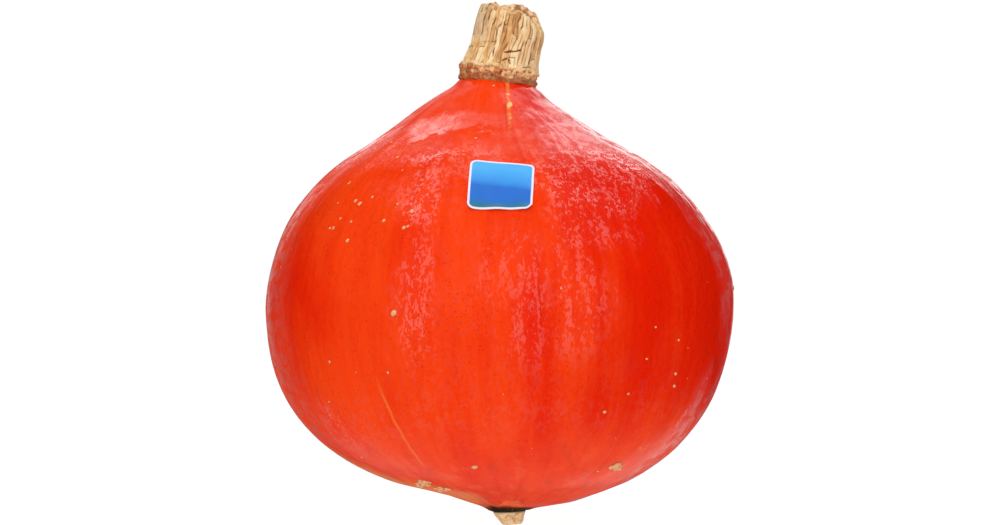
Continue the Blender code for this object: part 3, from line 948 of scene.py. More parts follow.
def speck_tree(kinds):
    """Sets specks on the skin: those of the host's points, and more scattered at random."""
    objects = {"Skin": "NodeSocketObject", "Speck": "NodeSocketObject", "Material": "NodeSocketMaterial"}
    g, given, end = geometry_graph("corky_specks", {**kinds, **objects})
    skin = g.add("GeometryNodeObjectInfo", inputs={"Object": given["Skin"]}, output=4)
    speck = g.add("GeometryNodeObjectInfo", inputs={"Object": given["Speck"]}, output=4)

    place = g.add("GeometryNodeInputPosition")
    x, y, z = g.split(place)
    crowd = g.noise(place, size=38 * MM, detail=1.0)
    crowd = g.smooth(crowd, 0.42, 0.72) + 0.12
    crowd = crowd * g.smooth(z, 14 * MM, 24 * MM) * g.smooth(z, 147 * MM, 138 * MM)
    under_sticker = (y < 0) * g.bump_at(x, 2 * MM, 24 * MM) * g.bump_at(z, 114 * MM, 22 * MM)
    density = given["Per Area"] * crowd * (1 - (under_sticker > 0.001))
    scattered = g.add(
        "GeometryNodeDistributePointsOnFaces",
        {"distribute_method": "RANDOM"},
        {"Mesh": skin, "Density": density, "Seed": given["Seed"]},
    )
    pick = random_number(g, given["Seed"], 0, 1)
    size = given["Smallest"] + (given["Largest"] - given["Smallest"]) * pick * pick * pick
    scattered = g.add(
        "GeometryNodeStoreNamedAttribute",
        {"data_type": "FLOAT", "domain": "POINT"},
        {"Geometry": scattered, "Name": "size", "Value": size},
    )
    placed = g.add("GeometryNodeMeshToPoints", inputs={"Mesh": given["Geometry"]})
    points = g.add("GeometryNodeJoinGeometry", inputs={"Geometry": placed})
    g.feed(points.socket.node.inputs[0], scattered)

    upwards = g.add(
        "GeometryNodeSampleNearestSurface",
        {"data_type": "FLOAT_VECTOR"},
        {"Mesh": skin, "Value": g.add("GeometryNodeInputNormal")},
    )
    stand = g.add("FunctionNodeAlignRotationToVector", {"axis": "Z"}, {"Vector": upwards})
    spin = g.add(
        "FunctionNodeAxisAngleToRotation",
        inputs={"Axis": (0, 0, 1), "Angle": random_number(g, given["Seed"] + 1, 0, FULL_TURN)},
    )
    turned = g.add(
        "FunctionNodeRotateRotation", {"rotation_space": "LOCAL"}, {"Rotation": stand, "Rotate By": spin}
    )
    radius = g.add("GeometryNodeInputNamedAttribute", {"data_type": "FLOAT"}, {"Name": "size"})
    longer = random_number(g, given["Seed"] + 2, 0.8, 1.35)
    taller = random_number(g, given["Seed"] + 3, 0.6, 1.1)
    instances = g.add(
        "GeometryNodeInstanceOnPoints",
        inputs={
            "Points": points,
            "Instance": speck,
            "Rotation": turned,
            "Scale": g.join(radius * longer, radius, radius * taller),
        },
    )
    finish(g, instances, given, end)
    return g


def random_number(g, seed, low, high):
    """A number for each point, anywhere between low and high."""
    limits = {2: low, 3: high, "Seed": seed}
    return g.add("FunctionNodeRandomValue", {"data_type": "FLOAT"}, limits, output=1)


def speck_material(specks):
    """Tan cork in the middle of each speck, running out into darker red skin that is partly painted shade
    at the speck's foot.
    """
    material, g, shader = shader_graph("speck_cork", {"Specular IOR Level": 0.35})
    place = g.object_place()
    cork = g.attribute("cork")
    grain = g.noise(place, size=0.35 * MM, detail=2.0)
    crust = g.noise(place, size=1.0 * MM, detail=2.0)
    tan = g.mix_colour(g.smooth(grain, 0.3, 0.7), tuple(0.72 * c for c in specks.cork), tuple(specks.cork))
    tan = g.mix_colour(0.75 * g.smooth(crust, 0.50, 0.66), tan, SPECK_CRUST)
    # The skirt of each speck is darker red, partly painted shade where it meets the skin
    g.feed(shader.inputs["Base Color"], g.mix_colour(g.smooth(cork, 0.1, 0.6), SPECK_EDGE_SHADE, tan))
    g.feed(shader.inputs["Roughness"], 0.35 + 0.4 * cork)
    g.feed(shader.inputs["Normal"], g.bump(grain, 0.6, 0.2 * MM))
    return material


def found_on_skin(tree, x, z):
    """The point of the skin that is seen from the front at (x, z)."""
    hit = tree.ray_cast(Vector((x, -0.5, z)), Vector((0, 1, 0)))[0]
    if hit is None:
        raise RuntimeError(f"no skin in front of x {x}, z {z}")
    return hit


def speck_places(tree):
    """(point, radius) of each speck that is listed: single ones, scabs and warts."""
    spots = [(found_on_skin(tree, x * MM, z * MM), r * MM) for x, z, r in FRONT_SPECKS]
    for index, (x, z, reach, count) in enumerate(FRONT_SCABS):
        for n in range(count):
            angle = 2.4 * n + index
            out = reach * math.sqrt(n / count) * MM
            spot = (x * MM + 1.3 * out * math.cos(angle), z * MM + 0.7 * out * math.sin(angle))
            spots.append((found_on_skin(tree, *spot), (1.05 + 0.3 * math.sin(3 * n)) * MM))
    for degrees, z, radius in SILHOUETTE_WARTS:
        angle = math.radians(degrees)
        outward = Vector((math.cos(angle), math.sin(angle), 0))
        start = outward * 0.5 + Vector((0, 0, z * MM))
        spots.append((tree.ray_cast(start, -outward)[0], radius * MM))
    return spots


class KURI_OT_specks(bpy.types.Operator):
    """Set corky specks and scabs on the skin"""

    bl_idname = "kuri.specks"
    bl_label = "Corky Specks"

    def execute(self, context):
        specks = context.scene.kuri_specks
        skin = bpy.data.objects["squash_skin"]
        spots = speck_places(skin_surface())
        points = bpy.data.meshes.new("speck_places")
        points.from_pydata([p for p, _ in spots], [], [])
        sizes = points.attributes.new("size", "FLOAT", "POINT")
        sizes.data.foreach_set("value", [radius for _, radius in spots])
        host = helper_object("speck_places", points)
        speck = helper_object("speck", speck_mesh())
        kinds, values = inputs_from(specks, SPECK_INPUTS)
        values.update({"Skin": skin, "Speck": speck, "Material": speck_material(specks)})
        mesh = grown_mesh("corky_specks", host, speck_tree(kinds), values)
        remove_helper(host)
        remove_helper(speck)
        add_piece("corky_specks", mesh, None)
        return {"FINISHED"}


def skin_surface():
    """A search tree of the finished skin."""
    mesh = bpy.data.objects["squash_skin"].data
    return BVHTree.FromPolygons([v.co for v in mesh.vertices], [p.vertices for p in mesh.polygons])


# ---------------------------------------------------------------- stem

# Cracks along the stem, in degrees and millimetres:
# (angle at the bottom, angle at the top, from height, to height, depth, width)
STEM_CRACKS = [
    (-137, -140, 14.0, 26.0, 1.5, 0.30),
    (-129, -127, 15.5, 25.0, 1.1, 0.24),
    (-119, -114, 17.5, 22.5, 1.0, 0.40),
    (-103, -111, 6.8, 19.0, 1.0, 0.24),
    (-97, -99, 15.5, 22.5, 0.8, 0.40),
    (-82, -80, 12.0, 20.0, 0.8, 0.22),
    (-70, -64, 16.0, 23.5, 1.2, 0.32),
    (-58, -47, 11.5, 21.5, 1.2, 0.30),
    (-38, -34, 5.0, 20.0, 0.9, 0.28),
    (-20, -24, 8.0, 17.0, 1.0, 0.30),
    (8, 3, 4.0, 19.0, 1.0, 0.30),
    (47, 52, 10.0, 20.0, 1.3, 0.35),
    (90, 84, 6.0, 22.0, 1.2, 0.32),
    (128, 133, 3.0, 15.0, 1.0, 0.30),
    (163, 160, 9.0, 26.0, 1.3, 0.35),
    (-158, -162, 4.0, 20.0, 1.1, 0.30),
]
# Cracks across it: (from angle, to angle, height, rise, depth, width)
STEM_BREAKS = [
    (-132, -104, 12.6, 0.2, 0.7, 0.16),
    (-90, -60, 10.2, 0.9, 1.2, 0.34),
    (-88, -80, 6.9, 0.6, 0.9, 0.40),
    (-79, -73, 6.6, -0.8, 0.8, 0.35),
    (-100, -92, 19.6, 0.3, 0.9, 0.35),
    (-55, -30, 5.4, 0.4, 0.6, 0.25),
    (20, 75, 13.0, 0.5, 0.8, 0.25),
    (110, 150, 18.0, -0.5, 0.9, 0.25),
    (170, 215, 10.5, 0.4, 0.8, 0.25),
]
# Where the edge of the cut end stands above or below its slanted plane: (angle, half width, rise)
CUT_EDGE = [
    (-132, 17, 1.4), (-92, 20, -1.2), (-55, 14, 0.5), (20, 20, -0.5), (80, 25, 0.6), (150, 20, -0.4),
]
# Strands and finer hairs round the stem, and how far each leans, in radians for a metre of height
STRANDS = 56
STRAND_LEAN = -4
HAIRS = 150
HAIR_LEAN = -3
STRAND_SEED = 7
STEM_SPACING = 0.24 * MM
STRAND_BROWN = (0.50, 0.25, 0.090)
STRAND_TAN = (0.75, 0.42, 0.165)
STRAND_CREAM = (0.95, 0.76, 0.46)
WEATHERED_GREY = (0.55, 0.42, 0.30)
CUT_TAN = (0.84, 0.48, 0.25)
CUT_CREAM = (0.90, 0.68, 0.36)
COLLAR_BROWN = (0.58, 0.22, 0.07)
COLLAR_TAN = (0.90, 0.57, 0.27)
# Painted shade at the foot of the collar, where it meets the skin
COLLAR_FOOT_SHADE = (0.30, 0.062, 0.010)
COLLAR_RIM = (0.90, 0.70, 0.38)


def stem_outline(stem):
    """(radius, height) points of the stem above its seat, from the underside to the cut end."""
    end = stem.length / MM
    points = [
        (0, 0.3), (11.6, 0.3), (12.6, -0.6), (12.9, 0.3), (13.0, 1.8), (13.4, 3.4), (13.5, 4.6),
        (13.1, 5.8), (12.7, 7.5), (12.4, 10.0), (12.1, 12.5), (12.2, 15.0), (12.1, 17.5), (11.8, 20.0),
        (11.4, 22.5), (11.0, 24.6), (10.5, 25.8),
    ]
    cut = [(9.7, end), (5.0, end - 0.5), (2.5, end - 1.0), (0, end - 1.2)]
    return [(r * MM, h * MM) for r, h in points + cut]


def crease(angle, height):
    """Depth of the stem's long creases, 0 on a ridge and 1 in the deepest one."""
    drift = 0.35 * np.sin(height / (7 * MM))
    waves = (
        np.cos(5 * angle + 0.4 + drift)
        + 0.8 * np.cos(8 * angle + 2.6 - drift)
        + 0.7 * np.cos(13 * angle + 1.2 + drift)
    )
    return 0.5 - 0.2 * waves


def angle_between(angle, target):
    """Difference of two angles, from -pi to pi."""
    return (angle - target + math.pi) % FULL_TURN - math.pi


def crack_depth(angle, height, radius, place):
    """Depth in metres of the cracks that run along and across the stem."""
    ragged = noise_at(place, 1.7 * MM, 31)
    patchy = np.clip(0.75 + 0.9 * noise_at(place, 2.3 * MM, 32), 0.15, 1.1)
    depth = np.zeros_like(angle)
    for bottom, top, low, high, deep, wide in STEM_CRACKS:
        share = np.clip((height / MM - low) / (high - low), 0, 1)
        line = np.radians(bottom + (top - bottom) * share) + 0.035 * ragged
        off = angle_between(angle, line) * radius
        window = smooth_step(height, low * MM, (low + 2) * MM)
        window = window * smooth_step(height, high * MM, (high - 2) * MM)
        profile = np.exp(-((off / (wide * MM * (0.25 + 0.6 * patchy))) ** 2))
        depth = np.maximum(depth, deep * MM * patchy * profile * window)
    for start, stop, at, rise, deep, wide in STEM_BREAKS:
        middle, half = math.radians((start + stop) / 2), math.radians((stop - start) / 2)
        off_angle = angle_between(angle, middle)
        line = at * MM + rise * MM * off_angle / half + 0.45 * MM * ragged
        window = smooth_step(np.abs(off_angle), half, 0.7 * half)
        profile = np.exp(-(((height - line) / (wide * MM * (0.25 + 0.5 * patchy))) ** 2))
        depth = np.maximum(depth, deep * MM * profile * window)
    return depth


def strands(angle, height, count, lean, seed):
    """(distance to the nearest edge of a strand, from 0 to 1, number of the strand) round the stem."""
    wander = noise_at(round_place(angle, height / (14 * MM)), 0.5, seed)
    widths = noise_at(round_place(angle), 0.12, seed + 1)
    along = count * (angle + lean * height) / FULL_TURN + 0.5 * wander + 0.5 * widths
    part = along - np.floor(along)
    return 2 * np.minimum(part, 1 - part), np.floor(along).astype(int) % count


def shaped_stem(stem):
    """(rows of points, attributes): the stem in its own upright place, before it is tilted on the seat."""
    radius, angle, height = round_grid(resampled(stem_outline(stem), STEM_SPACING), stem.segments)
    cosine, sine = np.cos(angle), np.sin(angle)
    place = np.stack([radius * cosine, radius * sine, height], -1)

    underside = (radius < 12.0 * MM) & (height < 0.31 * MM)
    side = smooth_step(radius, 6 * MM, 10 * MM) * smooth_step(height, 0, 6 * MM)
    uneven_top = 1.5 * MM * noise_at(round_place(angle), 0.4, 51)
    collar = smooth_step(height + uneven_top, 6.4 * MM, 4.0 * MM) * ~underside
    top = smooth_step(height, 24.6 * MM, 26 * MM)
    cut = top * smooth_step(radius, 10.7 * MM, 9.9 * MM)
    upright = (1 - collar) * (1 - cut) * ~underside

    chance = np.random.default_rng(STRAND_SEED)
    strand_edge, strand = strands(angle, height, STRANDS, STRAND_LEAN, 41)
    hair_edge, _ = strands(angle, height, HAIRS, HAIR_LEAN, 44)
    strand_shift = chance.uniform(-1, 1, STRANDS)[strand]
    strand_tone = chance.uniform(0, 1, STRANDS)[strand]
    strand_end = chance.uniform(-1, 1, STRANDS)[strand]
    broken_at = chance.uniform(4, 40, STRANDS)[strand] * MM
    open_edge = smooth_step(noise_at(round_place(angle, height / (30 * MM)), 0.16, 46), -0.35, 0.25)
    fissure = np.exp(-((strand_edge / 0.26) ** 2)) * open_edge
    hairline = np.exp(-((hair_edge / 0.35) ** 2))
    stump = smooth_step(height, broken_at, broken_at + 0.5 * MM)
    snap = np.exp(-(((height - broken_at) / (0.22 * MM)) ** 2)) * smooth_step(strand_edge, 0.0, 0.3)
    furrows = fissure + 0.22 * hairline + 0.22 * strand_shift + 0.45 * stump + 0.5 * snap
    crumbs = 1.2 * noise_at(place, 3.4 * MM, 8) + 0.8 * noise_at(place, 1.4 * MM, 9)
    crumbs = crumbs + 0.5 * noise_at(place, 0.7 * MM, 10)
    cracks = crack_depth(angle, height, np.maximum(radius, 5 * MM), place) * (1 - cut)
    cracks = cracks * smooth_step(height, 2.5 * MM, 5 * MM)
    inward = (
        stem.creases * crease(angle, height) * side
        + stem.fibres * furrows * upright * side
        + cracks
        - 0.30 * MM * (1 - underside) * (1 - cut)
        - 0.75 * MM * crumbs * collar
        + 0.5 * MM * np.maximum(cosine, 0) * collar
    )
    shaped = np.maximum(radius - inward * ~underside, 0)

    pits = ridges_at(place, 2.6 * MM, 11)
    outer = smooth_step(radius, 6.5 * MM, 10.5 * MM)
    torn = 0.55 * MM * noise_at(place, 3.4 * MM, 12) - 0.7 * MM * (1 - pits) ** 2 - 0.9 * MM * (1 - outer)
    splinters = 0.45 * MM * strand_end * outer
    end = smooth_step(height, 17 * MM, stem.length)
    collar_wave = 0.5 * MM * noise_at(round_place(angle), 0.4, 14) * collar * ~underside
    shaped_height = (
        height
        + end * cut_end_rise(stem, angle, shaped, outer)
        + top * (torn + splinters)
        + collar_wave * smooth_step(height, 4 * MM, 0)
    )
    bend = stem.bend * smooth_step(height, 4 * MM, 17 * MM)
    points = np.stack([shaped * cosine + bend, shaped * sine, shaped_height], -1)

    # How dark the cork is, from the depth of its fissures, cracks, pits and hollows: painted shade over
    # browner cork
    dark = (0.68 * fissure + 0.38 * hairline + 0.8 * snap) * upright + cracks / (1.0 * MM)
    dark = dark + (1 - pits) ** 2 * cut * 0.9 + smooth_step(crumbs, -0.3, -1.0) * collar * 0.8
    tone = 0.65 * strand_tone + 0.35 * (1 - stump) + 0.15 * noise_at(place, 2 * MM, 48)
    attributes = {
        "furrow": np.clip(dark, 0, 1),
        "tone": np.clip(tone, 0, 1),
        "collar": np.clip(collar + 0.25 * crumbs * collar, 0, 1),
        "cut": cut,
    }
    return points, attributes


def cut_end_rise(stem, angle, shaped, outer):
    """How far the cut end stands above a level one: its slant, its broken corner and its uneven edge."""
    edge_rise = np.zeros_like(angle)
    for degrees, half, rise in CUT_EDGE:
        off = angle_between(angle, math.radians(degrees))
        edge_rise += rise * MM * np.exp(-((off / math.radians(half)) ** 2))
    out = shaped / (10 * MM)
    fall = stem.cut_fall * out * np.sin(angle)
    break_off = stem.corner_break * np.maximum(0, np.cos(angle + 0.25)) ** 3 * np.minimum(out, 1)
    return fall - break_off + edge_rise * outer


def cork_material(stem, fruit):
    """Dry fibrous cork: cream and tan strands, brown furrows partly darkened as painted shade, a rusty
    collar with painted shade at its foot, and a torn cut end.
    """
    material, g, shader = shader_graph("stem_cork", {"Specular IOR Level": 0.2})
    from_seat = g.vector("SUBTRACT", g.object_place(), (fruit.seat_shift, 0, fruit.top))
    upright = g.add("ShaderNodeMapping", inputs={"Vector": from_seat, "Rotation": (0, -fruit.seat_tilt, 0)})
    x, y, z = g.split(upright)
    furrow, tone, collar, cut = [g.attribute(name) for name in ("furrow", "tone", "collar", "cut")]
    fibres = g.noise(g.join(x, y, z * 0.07), size=0.45 * MM, detail=3.0, roughness=0.65)
    bands = g.noise(g.join(x, y, z * 0.12), size=2.2 * MM, detail=2.0)
    spots = g.noise(upright, size=1.3 * MM, detail=3.0, roughness=0.6)
    paleness = tone * 0.55 + fibres * 0.75 + bands * 0.45 + spots * 0.2
    strand = g.ramp(
        g.smooth(paleness, 0.62, 1.32),
        (0.0, STRAND_BROWN),
        (0.38, STRAND_TAN),
        (0.62, tuple(stem.dry_tan)),
        (1.0, STRAND_CREAM),
    )
    greyer = g.smooth(x, -3 * MM, -7.5 * MM) * g.smooth(z, 12 * MM, 16 * MM) * g.smooth(y, 4 * MM, -2 * MM)
    strand = g.mix_colour(greyer * 0.4, strand, WEATHERED_GREY)
    strand = g.mix_colour(cut * 0.55, strand, CUT_TAN)
    strand = g.mix_colour(cut * g.smooth(spots, 0.52, 0.62) * 0.8, strand, CUT_CREAM)
    crumbly = g.mix_colour(g.smooth(spots, 0.36, 0.58), tuple(stem.collar_rust), COLLAR_BROWN)
    patches = g.noise(upright, size=2.6 * MM, detail=2.0)
    tanner = g.smooth(patches + x / (60 * MM) + 0.25 * (spots - 0.5), 0.42, 0.56)
    crumbly = g.mix_colour(tanner * 0.85, crumbly, COLLAR_TAN)
    # Painted shade at the foot of the collar, where it meets the skin, darker towards +X
    low = g.smooth(z - 0.05 * x + 6 * MM * (patches - 0.5), 2.4 * MM, 0.6 * MM)
    crumbly = g.mix_colour(low * 0.85, crumbly, COLLAR_FOOT_SHADE)
    rim = g.smooth(collar, 0.05, 0.3) * g.smooth(collar, 0.95, 0.6)
    crumbly = g.mix_colour(rim * 0.7, crumbly, COLLAR_RIM)
    cork = g.mix_colour(collar * 0.9, strand, crumbly)
    # Brown furrows and cracks, partly painted shade that follows their depth
    cork = g.mix_colour(g.smooth(furrow, 0.12, 0.85) * 0.92, cork, tuple(stem.furrow_brown))
    g.feed(shader.inputs["Base Color"], cork)
    g.feed(shader.inputs["Roughness"], 0.78 + 0.15 * fibres)
    relief = fibres * 0.22 + spots * 0.12 - furrow * 0.12
    g.feed(shader.inputs["Normal"], g.bump(relief, 1.0, 0.6 * MM))
    return material


class KURI_OT_stem(bpy.types.Operator):
    """Grow the corky stem and its collar"""

    bl_idname = "kuri.stem"
    bl_label = "Stem"

    def execute(self, context):
        stem, fruit = context.scene.kuri_stem, context.scene.kuri_fruit
        points, attributes = shaped_stem(stem)
        tilt = np.array(Matrix.Rotation(fruit.seat_tilt, 3, "Y"))
        points = points @ tilt.T + np.array([fruit.seat_shift, 0, fruit.top])
        mesh = closed_round_mesh("stem_cork", points, attributes)
        mesh.materials.append(cork_material(stem, fruit))
        add_piece("cork_stem", mesh, "stem")
        return {"FINISHED"}


# ---------------------------------------------------------------- blossom scar

SCAR_SEGMENTS = 160
SCAR_SPACING = 0.18 * MM
SCAR_SPOTS = (0.62, 0.34, 0.15)
# Browner cork in the furrows, partly painted shade
SCAR_FURROW = (0.42, 0.21, 0.09)
# Painted shade where the scar meets the skin
SCAR_SHADE_EDGE = (0.05, 0.028, 0.016)


def scar_outline(scar):
    """(radius, height) points of the scar, from the middle of its foot up into the skin."""
    foot, top = scar.foot_radius / MM, scar.height / MM
    points = [
        (0, 0), (foot - 0.4, 0), (foot, 0.12), (foot + 0.30, 0.5), (4.05, 1.3), (4.55, 2.4),
        (5.0, 3.3), (5.4, 4.0), (5.5, top), (0, top),
    ]
    return [(r * MM, h * MM) for r, h in points]


def shaped_scar(scar):
    """(rows of points, attributes): the scar with furrows on its side and small pits in its foot."""
    radius, angle, height = round_grid(resampled(scar_outline(scar), SCAR_SPACING), SCAR_SEGMENTS)
    cosine, sine = np.cos(angle), np.sin(angle)
    place = np.stack([radius * cosine, radius * sine, height], -1)
    along = round_place(angle, height / (14 * MM))
    furrow = (1 - ridges_at(along, 0.6, 21)) ** 3 + 0.35 * (1 - ridges_at(along, 0.22, 22)) ** 2
    on_side = smooth_step(height, 0.02 * MM, 0.9 * MM) * smooth_step(radius, 2.5 * MM, 4 * MM)
    uneven = 0.045 * np.cos(3 * angle + 0.5) + 0.03 * np.cos(5 * angle + 2.0)
    shaped = radius * (1 + uneven * on_side) - 0.30 * MM * furrow * on_side
    pitted = 0.18 * MM * (1 - ridges_at(place, 1.5 * MM, 23)) ** 2
    under = smooth_step(height, 0.3 * MM, 0) * smooth_step(radius, 3.6 * MM, 2.6 * MM)
    lean = 0.8 * MM * smooth_step(height, 4 * MM, 0.5 * MM)
    points = np.stack([shaped * cosine + lean, shaped * sine, height + pitted * under], -1)
    return points, {"furrow": np.clip(furrow * on_side, 0, 1)}


def scar_material(scar):
    """Pale dry cork with painted shade: browner in its furrows, and almost black where it meets the skin.
    """
    material, g, shader = shader_graph("blossom_cork", {"Specular IOR Level": 0.25})
    place = g.object_place()
    _, _, z = g.split(place)
    furrow = g.attribute("furrow")
    spots = g.noise(place, size=1.2 * MM, detail=3.0)
    tan = g.mix_colour(g.smooth(spots, 0.34, 0.56), SCAR_SPOTS, tuple(scar.tan))
    # The furrows are browner, partly as painted shade that follows their depth
    tan = g.mix_colour(g.smooth(furrow, 0.35, 0.95) * 0.45, tan, SCAR_FURROW)
    # Painted shade: almost black where the scar meets the skin
    tan = g.mix_colour(g.smooth(z, 4.1 * MM, 4.7 * MM) * 0.9, tan, SCAR_SHADE_EDGE)
    g.feed(shader.inputs["Base Color"], tan)
    g.feed(shader.inputs["Roughness"], 0.75 + 0.15 * spots)
    g.feed(shader.inputs["Normal"], g.bump(spots, 0.9, 0.4 * MM))
    return material


class KURI_OT_scar(bpy.types.Operator):
    """Grow the corky blossom scar that the squash stands on"""

    bl_idname = "kuri.scar"
    bl_label = "Blossom Scar"

    def execute(self, context):
        scar = context.scene.kuri_scar
        mesh = closed_round_mesh("blossom_cork", *shaped_scar(scar))
        mesh.materials.append(scar_material(scar))
        add_piece("blossom_cork", mesh, "blossom_scar")
        return {"FINISHED"}


# ---------------------------------------------------------------- sticker

STICKER_RINGS = 22
STICKER_CORNER_POINTS = 10
STICKER_SIDE_POINTS = 22
STICKER_CLEARANCE = 0.16 * MM
STICKER_THICKNESS = 0.12 * MM
PAPER_WHITE = (0.80, 0.76, 0.83)


def rounded_rectangle(width, height, corner):
    """Points of a rectangle with round corners, anticlockwise, as (across, along)."""
    points = []
    for quarter in range(4):
        first = quarter * math.pi / 2
        right = width / 2 - corner if quarter in (0, 3) else corner - width / 2
        top = height / 2 - corner if quarter in (0, 1) else corner - height / 2
        for n in range(STICKER_CORNER_POINTS):
            turn = first + math.pi / 2 * n / (STICKER_CORNER_POINTS - 1)
            points.append(Vector((right, top)) + corner * Vector((math.cos(turn), math.sin(turn))))
        side = (width if quarter in (0, 2) else height) - 2 * corner
        corner_end = points[-1]
        along_side = Vector((-math.sin(turn), math.cos(turn)))
        for n in range(1, STICKER_SIDE_POINTS):
            points.append(corner_end + along_side * side * n / STICKER_SIDE_POINTS)
    return points


def outline_at(outline, distance):
    """(point, direction) of the outline at a distance along it, counted from the scar."""
    for a, b in zip(outline, outline[1:]):
        step = (b - a).length
        if distance <= step:
            break
        distance -= step
    return a.lerp(b, distance / step), (b - a).normalized()


def length_to_height(outline, height):
    """Distance along the outline to a height."""
    travelled = 0
    for a, b in zip(outline, outline[1:]):
        if b.y >= height:
            return travelled + (b - a).length * (height - a.y) / (b.y - a.y)
        travelled += (b - a).length
    return travelled


def sticker_mesh(sticker, fruit):
    """The sticker as a thin closed sheet that follows the skin, with a few wrinkles along its edges."""
    outline = fruit_outline(fruit)
    middle = length_to_height(outline, sticker.centre_z)
    turn = Matrix.Rotation(sticker.turn, 2)
    skin = skin_surface()
    edge = rounded_rectangle(sticker.width, sticker.height, sticker.corner)

    def on_skin(flat):
        """(point on the skin, outward normal) under a point of the flat sticker."""
        slanted = Vector((flat.x, flat.y - sticker.slant * flat.x * (0.5 + flat.y / sticker.height)))
        across, along = turn @ slanted
        point, direction = outline_at(outline, middle + along)
        about_axis = Matrix.Rotation(FRONT + (sticker.centre_x + across) / point.x, 3, "Z")
        normal = about_axis @ Vector((direction.y, 0, -direction.x))
        start = about_axis @ Vector((point.x, 0, point.y)) + 10 * MM * normal
        return skin.ray_cast(start, -normal)[0], normal

    shares = [(n + 1) / STICKER_RINGS for n in range(STICKER_RINGS)]
    flats = [Vector((0, 0))] + [p * share for share in shares for p in edge]
    found = [on_skin(flat) for flat in flats]
    lifts = [sticker_lift(sticker, flat) for flat in flats]
    outer = [p + (STICKER_CLEARANCE + STICKER_THICKNESS + lift) * n for (p, n), lift in zip(found, lifts)]
    inner = [p + (STICKER_CLEARANCE * 0.3 + lift) * n for (p, n), lift in zip(found, lifts)]
    count, around = len(flats), len(edge)
    faces = sheet_faces(around)
    all_faces = faces + [tuple(count + i for i in reversed(face)) for face in faces]
    rim = 1 + (STICKER_RINGS - 1) * around
    for i in range(around):
        after = (i + 1) % around
        all_faces.append((rim + after, rim + i, count + rim + i, count + rim + after))
    mesh = bpy.data.meshes.new("sticker_paper")
    mesh.from_pydata(outer + inner, [], all_faces)
    map_flat(mesh, flats + flats, sticker)
    mesh.shade_smooth()
    mesh.set_sharp_from_angle(angle=math.radians(50))
    return mesh


def sheet_faces(around):
    """Faces of a sheet made of a middle point and rings of points round it."""
    faces = [(0, 1 + i, 1 + (i + 1) % around) for i in range(around)]
    for ring in range(STICKER_RINGS - 1):
        a, b = 1 + ring * around, 1 + (ring + 1) * around
        faces += [
            (a + i, b + i, b + (i + 1) % around, a + (i + 1) % around) for i in range(around)
        ]
    return faces


def sticker_lift(sticker, flat):
    """How far the paper stands off the skin: wrinkles along the lower edge and slightly raised corners."""
    x, y = flat.x / (sticker.width / 2), flat.y / (sticker.height / 2)
    low, right = smooth_step(-y, 0.70, 1.0), smooth_step(x, 0.80, 1.0)
    wrinkles = 0.22 * MM * low * (2.0 + math.cos(7 * x + 0.6))
    side = 0.28 * MM * right * (1.2 + math.cos(6 * y))
    corner = 0.12 * MM * right * low
    return float(wrinkles + side + corner)


def map_flat(mesh, flats, sticker):
    """Gives the mesh the flat sticker as its UV map, from 0 to 1 each way."""
    layer = mesh.uv_layers.new(name="UVMap")
    for loop in mesh.loops:
        flat = flats[loop.vertex_index]
        layer.data[loop.index].uv = (flat.x / sticker.width + 0.5, flat.y / sticker.height + 0.5)


def sticker_material(sticker):
    """Coated paper: a white border round a plain change from sky blue through deep blue to teal."""
    material, g, shader = shader_graph("sticker_paper", {"Specular IOR Level": 0.5})
    u, v, _ = g.split(g.add("ShaderNodeUVMap", {"uv_map": "UVMap"}))
    x = g.maths("ABSOLUTE", (u - 0.5) * sticker.width)
    y = g.maths("ABSOLUTE", (v - 0.5) * sticker.height)
    inner_corner = sticker.corner - sticker.border
    past_x = g.maths("MAXIMUM", x - (sticker.width / 2 - sticker.corner), 0)
    past_y = g.maths("MAXIMUM", y - (sticker.height / 2 - sticker.corner), 0)
    from_corner = g.hypotenuse(past_x, past_y)
    border = g.smooth(from_corner, inner_corner - 0.06 * MM, inner_corner + 0.06 * MM)
    place = g.object_place()
    cloudy = g.noise(place, size=7 * MM, detail=1.0)
    blend = g.ramp(
        v + (cloudy - 0.5) * 0.16 + 0.06 * (u - 0.5),
        (0.05, tuple(sticker.teal)),
        (0.20, tuple(sticker.deep_blue)),
        (0.42, tuple(sticker.deep_blue)),
        (0.52, tuple(sticker.mid_blue)),
        (0.85, tuple(sticker.sky_blue)),
    )
    g.feed(shader.inputs["Base Color"], g.mix_colour(border, blend, PAPER_WHITE))
    g.feed(shader.inputs["Roughness"], 0.32 + 0.1 * cloudy)
    fibres = g.noise(place, size=0.5 * MM, detail=2.0)
    g.feed(shader.inputs["Normal"], g.bump(fibres, 0.15, 0.1 * MM))
    return material


class KURI_OT_sticker(bpy.types.Operator):
    """Lay the blank paper sticker on the front shoulder"""

    bl_idname = "kuri.sticker"
    bl_label = "Sticker"

    def execute(self, context):
        sticker = context.scene.kuri_sticker
        mesh = sticker_mesh(sticker, context.scene.kuri_fruit)
        mesh.materials.append(sticker_material(sticker))
        add_piece("paper_sticker", mesh, "sticker")
        return {"FINISHED"}


# ---------------------------------------------------------------- stage

SENSOR_WIDTH = 36.0
FLOOR_RADIUS = 9.0
FLOOR_SIDES = 64
FLOOR_DROP = 0.05 * MM
FLOOR_GREY = 0.10
# Lamps that light the skin and don't show in its gloss, in degrees and metres:
# (name, azimuth from the front, elevation, distance, width, height, brightness)
LAMPS = [
    ("key", -8, 24, 2.2, 2.6, 2.2, 1.24),
    ("low_key", -6, 0, 1.8, 2.2, 0.9, 0.95),
    ("top_light", 18, 68, 2.0, 2.0, 1.6, 1.86),
    ("right_fill", 110, 2, 1.8, 1.2, 1.6, 0.24),
    ("left_fill", -110, -6, 1.8, 1.2, 1.2, 0.25),
]
